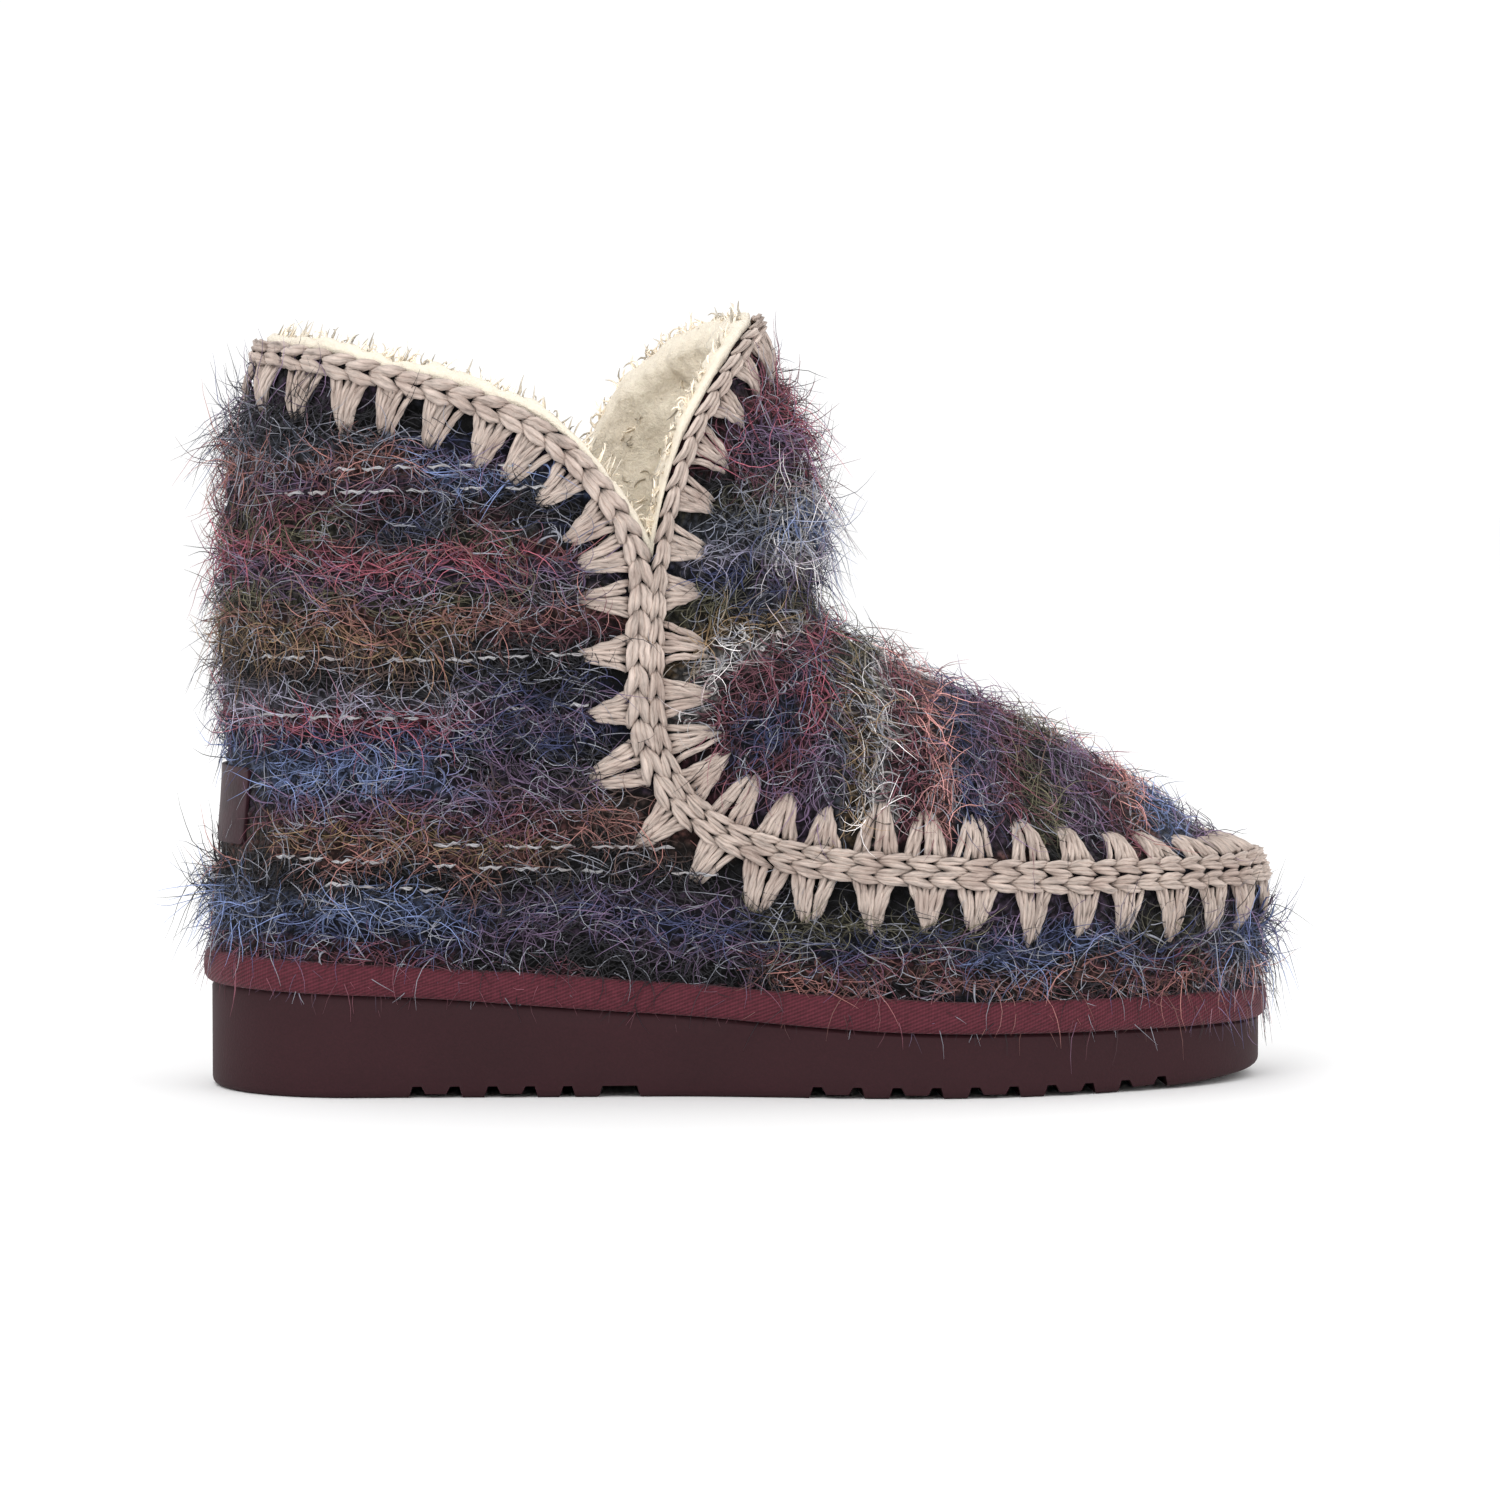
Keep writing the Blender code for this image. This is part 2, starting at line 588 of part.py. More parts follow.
def make_heel_patch():
    """A small leather patch on the back of the heel."""
    rings = []
    for share_up, share_wide in PATCH_OUTLINE:
        z = height_of(PATCH_LEVEL) + PATCH_HEIGHT * share_up
        reach = PATCH_WIDTH / 2 * share_wide / half_girth(slice_at(z))
        turn = np.linspace(-reach, reach, PATCH_COLUMNS)
        rings.append(surface(turn, z) + outward(turn, z) * CHAIN_GAP)
    bm, _ = lofted(rings, closed_rings=False)
    patch = make_object("heel_patch", bm, (0.035, 0.015, 0.02), 0.6)
    leather = patch.modifiers.new("leather", "SOLIDIFY")
    leather.thickness = PATCH_THICKNESS
    leather.offset = 1
    leather.use_even_offset = True


def clear_scene():
    for obj in list(bpy.data.objects):
        bpy.data.objects.remove(obj)
    for name in ("mukluk_boot", "cutters"):
        collection = bpy.data.collections.new(name)
        bpy.context.scene.collection.children.link(collection)


def set_origin():
    """Carry every piece on an empty that puts the origin under the middle of the boot."""
    bpy.context.view_layer.update()
    graph = bpy.context.evaluated_depsgraph_get()
    points = []
    for obj in bpy.data.collections["mukluk_boot"].objects:
        mesh = obj.evaluated_get(graph).to_mesh()
        points.extend(vertex.co.copy() for vertex in mesh.vertices)
    points = np.array(points)
    low, high = points.min(axis=0), points.max(axis=0)
    carrier = bpy.data.objects.new("boot_origin", None)
    bpy.context.scene.collection.objects.link(carrier)
    carrier.location = (-(low[0] + high[0]) / 2, -(low[1] + high[1]) / 2, -low[2])
    for obj in bpy.data.objects:
        if obj.type == "MESH":
            obj.parent = carrier


def main():
    clear_scene()
    make_outsole()
    make_upper()
    make_rand_tape()
    make_quarter_chain()
    make_apron_chain()
    make_insole()
    make_heel_patch()
    set_origin()


main()
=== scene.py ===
"""Looks of the mukluk boot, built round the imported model.

A knitted upper with eyelash hairs, crocheted chains and fans, a fleece lining, a twill
tape, a foam sole and a bare leather patch, on a pale floor in soft studio light.
"""

import json
import math

import bmesh
import bpy
import numpy as np
from bpy.props import FloatProperty, FloatVectorProperty, IntProperty, PointerProperty
from bpy.types import Operator, Panel, PropertyGroup
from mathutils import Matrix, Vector
from mathutils.kdtree import KDTree

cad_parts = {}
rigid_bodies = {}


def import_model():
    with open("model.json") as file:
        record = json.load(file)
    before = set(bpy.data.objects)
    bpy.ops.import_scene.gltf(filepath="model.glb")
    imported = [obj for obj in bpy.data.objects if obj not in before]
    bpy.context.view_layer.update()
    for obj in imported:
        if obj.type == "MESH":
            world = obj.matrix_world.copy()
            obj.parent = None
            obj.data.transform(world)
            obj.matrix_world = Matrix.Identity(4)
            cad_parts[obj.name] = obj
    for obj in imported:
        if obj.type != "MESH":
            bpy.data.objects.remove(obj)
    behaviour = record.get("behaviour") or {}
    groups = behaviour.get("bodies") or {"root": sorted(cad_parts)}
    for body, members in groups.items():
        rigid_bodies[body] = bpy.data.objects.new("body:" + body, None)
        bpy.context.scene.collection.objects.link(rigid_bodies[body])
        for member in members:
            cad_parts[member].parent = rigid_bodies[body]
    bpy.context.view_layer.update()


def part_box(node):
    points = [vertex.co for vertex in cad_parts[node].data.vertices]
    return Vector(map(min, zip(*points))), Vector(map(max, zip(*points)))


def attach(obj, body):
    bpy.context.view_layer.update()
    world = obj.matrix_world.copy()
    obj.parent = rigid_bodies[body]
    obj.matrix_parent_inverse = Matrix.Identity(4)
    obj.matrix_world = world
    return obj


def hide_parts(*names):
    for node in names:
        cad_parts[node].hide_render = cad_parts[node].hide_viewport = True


bl_info = {
    "name": "Mukluk boot",
    "version": (1, 0, 0),
    "blender": (4, 5, 0),
    "location": "3D View > Sidebar > Boot",
    "description": "Dresses the packed boot in knit, hairs, crochet, fleece, tape and foam",
    "category": "Object",
}

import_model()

# Driving sizes of the boot, in metres, as the solids have them
FOOT_LENGTH = 0.262
BALL_WIDTH = 0.098
BOOT_HEIGHT = 0.190
HEEL_SOLE = 0.026
FOREFOOT_SOLE = 0.0156
TOE_SPRING = 0.0025
CLEARANCE = 0.0003
CHAIN_GAP = 0.0004
UPPER_WALL = 0.0035
SOLE_LIP = 0.0010
SOLE_BEVEL = 0.0020
SOLE_DRAFT = 0.0006
TAPE_HEIGHT = 0.0080
TAPE_THICKNESS = 0.0027
CHAIN_THICKNESS = 0.0038
FOOT_CHAIN_WIDTH = 0.0048
SHAFT_CHAIN_WIDTH = 0.0068
APRON_CHAIN_WIDTH = 0.0044
INSOLE_THICKNESS = 0.0050
INSOLE_FIT = 0.0006
LUG_DEPTH = 0.0029
LUG_STEP = 0.0010
HEEL_LUG_PITCH = 0.0092
BALL_LUG_PITCH = 0.0096
GROOVE_WIDTH = 0.0042
GROOVE_SLANT = 0.0010
ARCH_RECESS_WIDTH = 0.0105
PATCH_WIDTH = 0.042
PATCH_HEIGHT = 0.019
PATCH_THICKNESS = 0.0011
PATCH_LEVEL = 0.315
UPPER_HEIGHT = BOOT_HEIGHT - FOREFOOT_SOLE

# Level slices of the upper. Level is a share of the upper's height above the forefoot sole.
# Back, front and arcs are shares of the foot's length, half widths are shares of the ball's.
SECTION_COLUMNS = (
    "level", "back", "front", "heel_arc", "toe_arc", "heel", "waist", "ball", "toe",
)
SECTIONS = (
    (-0.092, 0.0038, 1.0030, 0.130, 0.221, 0.345, 0.357, 0.478, 0.418),
    (0.056, 0.0038, 1.0038, 0.130, 0.221, 0.350, 0.362, 0.483, 0.423),
    (0.130, 0.0038, 1.0069, 0.134, 0.218, 0.362, 0.378, 0.500, 0.434),
    (0.175, 0.0046, 1.0061, 0.134, 0.218, 0.367, 0.388, 0.505, 0.439),
    (0.221, 0.0076, 0.9981, 0.134, 0.229, 0.367, 0.393, 0.500, 0.434),
    (0.241, 0.0092, 0.9828, 0.134, 0.247, 0.365, 0.393, 0.498, 0.434),
    (0.256, 0.0107, 0.9560, 0.134, 0.267, 0.362, 0.393, 0.495, 0.434),
    (0.290, 0.0126, 0.9237, 0.134, 0.298, 0.357, 0.393, 0.485, 0.429),
    (0.325, 0.0145, 0.8905, 0.137, 0.321, 0.352, 0.393, 0.474, 0.429),
    (0.370, 0.0160, 0.8378, 0.141, 0.336, 0.347, 0.393, 0.464, 0.424),
    (0.416, 0.0160, 0.7779, 0.149, 0.336, 0.347, 0.393, 0.449, 0.419),
    (0.462, 0.0153, 0.7118, 0.160, 0.321, 0.352, 0.393, 0.434, 0.414),
    (0.508, 0.0145, 0.6469, 0.179, 0.298, 0.362, 0.398, 0.424, 0.409),
    (0.542, 0.0137, 0.6031, 0.198, 0.275, 0.372, 0.403, 0.414, 0.409),
    (0.571, 0.0134, 0.5763, 0.214, 0.267, 0.378, 0.403, 0.409, 0.409),
    (0.611, 0.0134, 0.5698, 0.229, 0.267, 0.388, 0.403, 0.408, 0.408),
    (0.685, 0.0145, 0.5744, 0.252, 0.275, 0.398, 0.403, 0.403, 0.403),
    (0.754, 0.0183, 0.5706, 0.267, 0.275, 0.403, 0.403, 0.403, 0.403),
    (0.829, 0.0272, 0.5592, 0.267, 0.260, 0.398, 0.398, 0.398, 0.398),
    (0.897, 0.0420, 0.5420, 0.252, 0.237, 0.393, 0.393, 0.393, 0.393),
    (0.966, 0.0580, 0.5191, 0.229, 0.221, 0.388, 0.388, 0.388, 0.388),
    (1.011, 0.0670, 0.5057, 0.218, 0.218, 0.383, 0.383, 0.383, 0.383),
)
STATIONS = (0.153, 0.401, 0.687, 0.897)
CENTRE_LINE = ((0.0, 0.0), (0.42, -0.020), (0.706, -0.010), (0.897, 0.036), (1.01, 0.056))
HEEL_LIFT = (
    (0.0, 1.0), (0.06, 0.97), (0.18, 0.86), (0.36, 0.54), (0.455, 0.38),
    (0.547, 0.19), (0.64, 0.05), (0.73, 0.0), (1.01, -0.06),
)
SPRING_START = 0.80

# The seam from the notch to the toe, and the two rims: shares of the foot's length on the
# outer and inner side, then level
EDGE_COLUMNS = ("outer", "inner", "level")
SEAM = (
    (0.410, 0.352, 0.672), (0.407, 0.350, 0.620), (0.405, 0.352, 0.540),
    (0.406, 0.359, 0.460), (0.412, 0.372, 0.400), (0.426, 0.392, 0.352),
    (0.445, 0.416, 0.317), (0.470, 0.447, 0.287), (0.501, 0.484, 0.267),
    (0.547, 0.535, 0.249), (0.593, 0.585, 0.240), (0.639, 0.634, 0.235),
    (0.732, 0.730, 0.226), (0.828, 0.828, 0.217), (0.928, 0.928, 0.214),
    (1.020, 1.020, 0.212),
)
BACK_RIM = (
    (0.058, 0.058, 0.966), (0.099, 0.096, 0.958), (0.140, 0.132, 0.944),
    (0.181, 0.167, 0.930), (0.239, 0.213, 0.906), (0.286, 0.250, 0.879),
    (0.322, 0.280, 0.848), (0.348, 0.301, 0.812), (0.368, 0.317, 0.776),
    (0.386, 0.332, 0.738), (0.400, 0.343, 0.702), (0.410, 0.352, 0.672),
)
FRONT_RIM = (
    (0.410, 0.352, 0.672), (0.414, 0.354, 0.712), (0.421, 0.358, 0.756),
    (0.429, 0.365, 0.796), (0.439, 0.377, 0.838), (0.453, 0.392, 0.878),
    (0.470, 0.415, 0.920), (0.493, 0.452, 0.967), (0.511, 0.511, 1.000),
)
CHAIN_WIDENS_FROM = 0.28
CHAIN_WIDENS_TO = 0.42
HEEL_GROOVES_START = 0.191
HEEL_GROOVES = 5
ARCH_RECESS_START = 0.380
BALL_GROOVES_START = 0.563
BALL_GROOVES = 10

# Where the tables' origin, the heel end of the sole on the floor, lies in the row frame
ORIGIN = np.array([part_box("upper")[0].x - SECTIONS[0][1] * FOOT_LENGTH, 0.00106, 0.0])

SMALL_STEP = 1e-4
SETTLING_ROUNDS = 60
EDGE_POINTS = 160
EASING_PASSES = 24

# Hairs, in metres: a flat hair's half width against its radius, the lowest that a hair may
# hang, and how far from a panel's edge hairs start, are thin and are full
STRIP_REACH = 1.2
LOWEST_HAIR = 0.006
HAIR_POINTS = 6
HAIR_FREE = 0.0055
HAIR_THIN = 0.0085
HAIR_FULL = 0.0150
PATCH_MARGIN = 0.003

# Crochet and weave, in metres; the chain's inset and lift are shares of its own size
TWILL_PITCH = 0.0021
THREAD_PITCH = 0.0007
CHAIN_INSET = 0.40
CHAIN_LIFT = 0.12
FAN_STRANDS = 5
FAN_WIDTH = 0.0092
FAN_TUCK = 0.0012
FAN_LAP = 0.0006
FAN_LIFT = 0.0010
FAN_YARN = 0.00098

# White dashes, in metres: their pitch, the share that shows and how high they lie
DASH_PITCH = 0.0074
DASH_SHARE = 0.86
DASH_LIFT = 0.0018

# Counts of the fine meshes' columns and rows
HEEL_COLUMNS = 110
TOE_COLUMNS = 66
KNIT_ROWS = 76
WALL_ROWS = 16
LINING_ROWS = 42
SOLE_COLUMNS = 120
FOOTBED_COLUMNS = 84
PATCH_COLUMNS = 49
COLUMN_SAMPLES = 160
TUFT_ROWS = 40


def tone(red, green, blue):
    """A colour of 0 to 255 as the light values that shaders take."""
    shares = [value / 255 for value in (red, green, blue)]
    return tuple(s / 12.92 if s <= 0.04045 else ((s + 0.055) / 1.055) ** 2.4 for s in shares)


# Yarns of the knit
YARNS = {
    "navy": tone(50, 58, 98),
    "steel": tone(92, 112, 160),
    "slate": tone(92, 98, 116),
    "plum": tone(98, 74, 106),
    "wine": tone(106, 52, 66),
    "crimson": tone(150, 62, 82),
    "rust": tone(142, 88, 80),
    "coral": tone(182, 120, 112),
    "ochre": tone(124, 98, 62),
    "olive": tone(90, 86, 62),
    "brown": tone(92, 70, 64),
    "charcoal": tone(33, 32, 38),
    "lilac": tone(142, 136, 160),
    "white": tone(200, 196, 196),
}

# Hairs of no course's yarn
PALE_HAIR = tone(172, 174, 186)
DARK_HAIR = tone(26, 25, 31)

# Courses of the quarter, lowest first: height in millimetres, then the yarn towards the
# heel and the yarn towards the notch
QUARTER_COURSES = (
    (22, "plum", "wine"), (30, "wine", "charcoal"), (36, "navy", "plum"), (42, "steel", "navy"),
    (47, "charcoal", "plum"), (52, "charcoal", "charcoal"), (57, "rust", "charcoal"),
    (62, "ochre", "brown"), (67, "wine", "rust"), (72, "plum", "brown"), (78, "steel", "plum"),
    (84, "steel", "charcoal"), (90, "navy", "navy"), (95, "crimson", "plum"),
    (100, "lilac", "navy"), (105, "charcoal", "charcoal"), (110, "brown", "charcoal"),
    (115, "ochre", "wine"), (120, "rust", "rust"), (125, "olive", "plum"), (130, "plum", "navy"),
    (135, "crimson", "olive"), (140, "olive", "navy"), (146, "wine", "charcoal"),
    (151, "plum", "steel"), (156, "rust", "plum"), (161, "slate", "navy"),
    (167, "charcoal", "charcoal"), (175, "plum", "slate"), (200, "charcoal", "charcoal"),
)

# Courses of the quarter in front of its side join, lowest first
FRONT_COURSES = (
    (18, "plum", "charcoal"), (23, "wine", "plum"), (27, "charcoal", "navy"),
    (31, "rust", "coral"), (35, "wine", "charcoal"), (39, "navy", "steel"),
    (43, "olive", "navy"), (60, "charcoal", "plum"),
)
SIDE_JOIN = 0.500

# Courses of the apron from its top edge to the toe: millimetres along it, then two yarns
APRON_COURSES = (
    (10, "rust", "slate"), (20, "plum", "wine"), (28, "wine", "crimson"), (37, "crimson", "plum"),
    (44, "charcoal", "wine"), (49, "olive", "white"), (57, "slate", "steel"),
    (62, "lilac", "white"), (68, "navy", "plum"), (75, "olive", "navy"), (82, "ochre", "charcoal"),
    (91, "white", "slate"), (100, "wine", "charcoal"), (107, "navy", "wine"),
    (118, "crimson", "plum"), (122, "charcoal", "slate"), (129, "olive", "ochre"),
    (135, "white", "white"), (142, "coral", "wine"), (148, "white", "coral"),
    (157, "steel", "navy"), (163, "coral", "plum"), (168, "rust", "wine"),
    (178, "charcoal", "olive"), (186, "plum", "coral"), (194, "wine", "steel"),
    (201, "coral", "navy"), (211, "steel", "plum"), (260, "plum", "charcoal"),
)

# The apron's courses turn round a point over the instep, from level ones on the shin to
# upright ones on the foot: its place as a share of the foot's length and a level
FAN_POINT = (0.580, 0.587)
FAN_RADIUS = 0.030

# Height of one course of the knit, in millimetres, and how much of their colour the yarns keep
COURSE_PITCH = 5.6
YARN_COLOUR = 0.74

# White threads that run along the quarter: height in millimetres, from and to as shares of
# the foot's length
WHITE_THREADS = (
    (154.0, 0.13, 0.30), (148.5, 0.08, 0.34), (107.6, 0.06, 0.37), (93.5, 0.02, 0.20),
    (95.0, 0.28, 0.37), (57.0, 0.22, 0.43), (50.5, 0.07, 0.47), (44.0, 0.12, 0.22),
)

# Where the hairs are longer: shares of the foot's length, millimetres of height, reach of
# the place in metres, and how much longer
HAIR_TUFTS = (
    (0.03, 168, 0.024, 1.7), (0.0, 57, 0.018, 1.8), (0.0, 120, 0.03, 1.25),
    (0.56, 165, 0.030, 1.5), (0.57, 138, 0.020, 1.5), (1.0, 42, 0.018, 1.5),
    (0.62, 108, 0.03, 1.3), (0.75, 85, 0.03, 1.25), (0.9, 20, 0.05, 1.3),
)


def smooth(places, values, wanted):
    """Read a curve that passes through the table's points and never overshoots them."""
    places = np.asarray(places, float)
    values = np.asarray(values, float)
    steps = np.diff(places)
    slopes = np.diff(values) / steps
    tangents = np.zeros(len(values))
    tangents[0], tangents[-1] = slopes[0], slopes[-1]
    rising = slopes[:-1] * slopes[1:] > 0
    pair = np.where(rising, slopes[:-1] + slopes[1:], 1.0)
    tangents[1:-1] = np.where(rising, 2 * slopes[:-1] * slopes[1:] / pair, 0.0)
    wanted = np.clip(wanted, places[0], places[-1])
    i = np.clip(np.searchsorted(places, wanted, side="right") - 1, 0, len(steps) - 1)
    f = (wanted - places[i]) / steps[i]
    rise = f * f * (3 - 2 * f)
    return (
        values[i] * (1 - rise)
        + values[i + 1] * rise
        + tangents[i] * steps[i] * f * (1 - f) ** 2
        - tangents[i + 1] * steps[i] * f * f * (1 - f)
    )


def ease(value, start, end):
    """0 before start, 1 after end, and a soft rise between them."""
    f = np.clip((value - start) / (end - start), 0, 1)
    return f * f * (3 - 2 * f)


def slice_at(z):
    """Lengths and half widths of the upper's outline at height z."""
    level = (np.asarray(z, float) - FOREFOOT_SOLE) / UPPER_HEIGHT
    table = np.array(SECTIONS)
    found = {}
    for name, values in zip(SECTION_COLUMNS, table.T):
        size = FOOT_LENGTH if name in ("back", "front", "heel_arc", "toe_arc") else BALL_WIDTH
        found[name] = smooth(table[:, 0], values, level) * size
    return found


def half_width(cut, x):
    """Half width of a slice at x, before its ends are rounded."""
    width = cut["heel"]
    for start, end, name in zip(STATIONS, STATIONS[1:], ("waist", "ball", "toe")):
        width = width + (cut[name] - width) * ease(x / FOOT_LENGTH, start, end)
    return width


def centre_line(x):
    """Y of the foot's centre line at x."""
    places, shares = np.array(CENTRE_LINE).T
    return smooth(places, shares, x / FOOT_LENGTH) * BALL_WIDTH


def quarter_arc(reach, width):
    """Length of a quarter of an ellipse."""
    root = np.sqrt((3 * reach + width) * (reach + 3 * width))
    return math.pi / 4 * (3 * (reach + width) - root)


def half_girth(cut):
    """Length of a slice's outline from heel to toe along one side."""
    side = cut["front"] - cut["back"] - cut["heel_arc"] - cut["toe_arc"]
    return quarter_arc(cut["heel_arc"], cut["heel"]) + side + quarter_arc(cut["toe_arc"], cut["toe"])


def arc_shares(cut):
    """Where the heel's arc ends and the toe's begins, as shares of half a slice's outline."""
    whole = half_girth(cut)
    heel = quarter_arc(cut["heel_arc"], cut["heel"])
    toe = quarter_arc(cut["toe_arc"], cut["toe"])
    return heel / whole, 1 - toe / whole


def surface(turn, z):
    """Outer face of the upper. Turn runs 0 at the heel, outer side, 1 at the toe, inner side, 2."""
    turn, z = np.broadcast_arrays(np.mod(turn, 2.0), np.asarray(z, float))
    cut = slice_at(z)
    side = np.where(turn < 1, -1.0, 1.0)
    t = np.where(turn < 1, turn, 2 - turn)
    heel_end, toe_start = arc_shares(cut)
    heel_angle = np.clip(t / heel_end, 0, 1) * math.pi / 2
    toe_angle = np.clip((1 - t) / (1 - toe_start), 0, 1) * math.pi / 2
    along = np.clip((t - heel_end) / (toe_start - heel_end), 0, 1)
    flat_start = cut["back"] + cut["heel_arc"]
    flat_end = cut["front"] - cut["toe_arc"]
    x = flat_start + (flat_end - flat_start) * along
    x = x - cut["heel_arc"] * np.cos(heel_angle) + cut["toe_arc"] * np.cos(toe_angle)
    roundness = np.sin(heel_angle) * np.sin(toe_angle)
    y = centre_line(x) + side * half_width(cut, x) * roundness
    return np.stack([x, y, z], axis=-1)


def turn_at(x, z, side):
    """The turn at which the outer face has this x, on the outer (-1) or inner (+1) side."""
    cut = slice_at(z)
    heel_end, toe_start = arc_shares(cut)
    flat_start = cut["back"] + cut["heel_arc"]
    flat_end = cut["front"] - cut["toe_arc"]
    heel_angle = np.arccos(np.clip((flat_start - x) / cut["heel_arc"], 0, 1))
    toe_angle = np.arccos(np.clip((x - flat_end) / cut["toe_arc"], 0, 1))
    along = np.clip((x - flat_start) / (flat_end - flat_start), 0, 1)
    t = heel_end + (toe_start - heel_end) * along
    t = np.where(x < flat_start, heel_end * heel_angle * 2 / math.pi, t)
    t = np.where(x > flat_end, 1 - (1 - toe_start) * toe_angle * 2 / math.pi, t)
    return t if side < 0 else 2 - t


def slopes_of(turn, z):
    """How the outer face runs along turn and up z."""
    along = (surface(turn + SMALL_STEP, z) - surface(turn - SMALL_STEP, z)) / (2 * SMALL_STEP)
    up = (surface(turn, z + SMALL_STEP) - surface(turn, z - SMALL_STEP)) / (2 * SMALL_STEP)
    return along, up


def unit(vectors):
    """The same directions at length 1."""
    return vectors / np.linalg.norm(vectors, axis=-1, keepdims=True)


def outward(turn, z):
    """Unit vectors that point out of the outer face."""
    along, up = slopes_of(turn, z)
    return unit(np.cross(along, up))


def slide(turn, z, way):
    """Move points of the outer face by vectors that lie along it, in two half steps."""
    for _ in range(2):
        along, up = slopes_of(turn, z)
        length, skew, height = (along * along).sum(-1), (along * up).sum(-1), (up * up).sum(-1)
        forward, upward = (along * way).sum(-1) / 2, (up * way).sum(-1) / 2
        area = length * height - skew * skew
        turn = turn + (forward * height - upward * skew) / area
        z = z + (upward * length - forward * skew) / area
    return turn, z


def feather(x):
    """Height of the sole's top at x, where the upper meets it."""
    places, shares = np.array(HEEL_LIFT).T
    return FOREFOOT_SOLE + (HEEL_SOLE - FOREFOOT_SOLE) * smooth(places, shares, x / FOOT_LENGTH)


def ground(x):
    """Height of the sole's underside at x: flat, then rising to the toe."""
    f = np.clip((x / FOOT_LENGTH - SPRING_START) / (1 - SPRING_START), 0, 1.1)
    return TOE_SPRING * f * f


def height_of(level):
    """Height in metres of a level of the tables."""
    return FOREFOOT_SOLE + UPPER_HEIGHT * level


def edge_side(table, side):
    """The x and z of a seam or rim table on the outer (-1) or inner (+1) side."""
    named = dict(zip(EDGE_COLUMNS, np.array(table).T))
    return named["outer" if side < 0 else "inner"] * FOOT_LENGTH, height_of(named["level"])


def rim_height(turn):
    """Height of the upper's rim at each turn, with its notch on both sides."""
    side_of = np.where(np.mod(turn, 2.0) < 1, -1, 1)
    z = np.full(len(turn), height_of(1.0))
    for _ in range(SETTLING_ROUNDS):
        x = surface(turn, z)[:, 0]
        wanted = np.empty(len(turn))
        for side in (-1, 1):
            back_x, back_z = edge_side(BACK_RIM, side)
            front_x, front_z = edge_side(FRONT_RIM, side)
            here = side_of == side
            behind = smooth(back_x, back_z, x[here])
            ahead = smooth(front_x, front_z, x[here])
            wanted[here] = np.where(x[here] < back_x[-1], behind, ahead)
        z = (z + wanted) / 2
    return z


def notch_turn(side):
    """The turn at which the notch's foot lies on one side."""
    x, z = edge_side(SEAM, side)
    return float(turn_at(x[0], z[0], side))


def columns():
    """Turns of the upper's fine columns, evenly spread between heel, notches and toe."""
    outer, inner = notch_turn(-1), notch_turn(1)
    pieces = [
        np.linspace(0, outer, HEEL_COLUMNS, endpoint=False),
        np.linspace(outer, 1, TOE_COLUMNS, endpoint=False),
        np.linspace(1, inner, TOE_COLUMNS, endpoint=False),
        np.linspace(inner, 2, HEEL_COLUMNS, endpoint=False),
    ]
    return np.concatenate(pieces)


def foot_ring(turn):
    """The upper's outline where it stands on the sole."""
    z = np.full(len(turn), FOREFOOT_SOLE)
    for _ in range(SETTLING_ROUNDS):
        z = feather(surface(turn, z)[:, 0])
    return surface(turn, z)


def widened(ring, distance):
    """A closed level ring moved out by a distance, at its own heights."""
    along = np.roll(ring, -1, axis=0) - np.roll(ring, 1, axis=0)
    along[:, 2] = 0
    out = unit(np.stack([along[:, 1], -along[:, 0], along[:, 2]], axis=1))
    return ring + out * distance


def edge_path(rim_table, side):
    """Turns and heights along one side's rim, from its far end to the notch, and seam to the toe."""
    rim_x, rim_z = edge_side(rim_table, side)
    seam_x, seam_z = edge_side(SEAM, side)
    if rim_table is FRONT_RIM:
        rim_x, rim_z = rim_x[::-1], rim_z[::-1]
    x, z = np.concatenate([rim_x, seam_x[1:]]), np.concatenate([rim_z, seam_z[1:]])
    length = np.concatenate([[0], np.cumsum(np.hypot(np.diff(x), np.diff(z)))])
    wanted = np.linspace(0, length[-1], EDGE_POINTS)
    x, z = smooth(length, x, wanted), smooth(length, z, wanted)
    for _ in range(EASING_PASSES):
        x[1:-1] = (x[:-2] + 2 * x[1:-1] + x[2:]) / 4
        z[1:-1] = (z[:-2] + 2 * z[1:-1] + z[2:]) / 4
    return turn_at(x, z, side), z


def along_loop(points):
    """Unit vectors along a closed row of points."""
    return unit(np.roll(points, -1, axis=0) - np.roll(points, 1, axis=0))


def run_length(points):
    """Length from a path's start to each of its points."""
    steps = np.linalg.norm(np.diff(points, axis=0), axis=1)
    return np.concatenate([[0], np.cumsum(steps)])


def panel_edge(rim_table, lap, pitch):
    """A panel's closed edge, over the toe and along both rims, as points a pitch apart.

    Lap is how far the turn runs before the loop closes: 2 round the heel, 0 for the apron.
    """
    outer_turn, outer_z = edge_path(rim_table, -1)
    inner_turn, inner_z = edge_path(rim_table, 1)
    turn = np.concatenate([outer_turn, inner_turn[::-1], [outer_turn[0] + lap]])
    z = np.concatenate([outer_z, inner_z[::-1], [outer_z[0]]])
    length = run_length(surface(turn, z))
    count = round(length[-1] / pitch)
    wanted = np.linspace(0, length[-1], count, endpoint=False)
    return np.interp(wanted, length, turn), np.interp(wanted, length, z)


def into_panel(turn, z, panel_side):
    """Unit vectors from a panel's edge into the panel, along the outer face."""
    return unit(np.cross(along_loop(surface(turn, z)), outward(turn, z)) * panel_side)


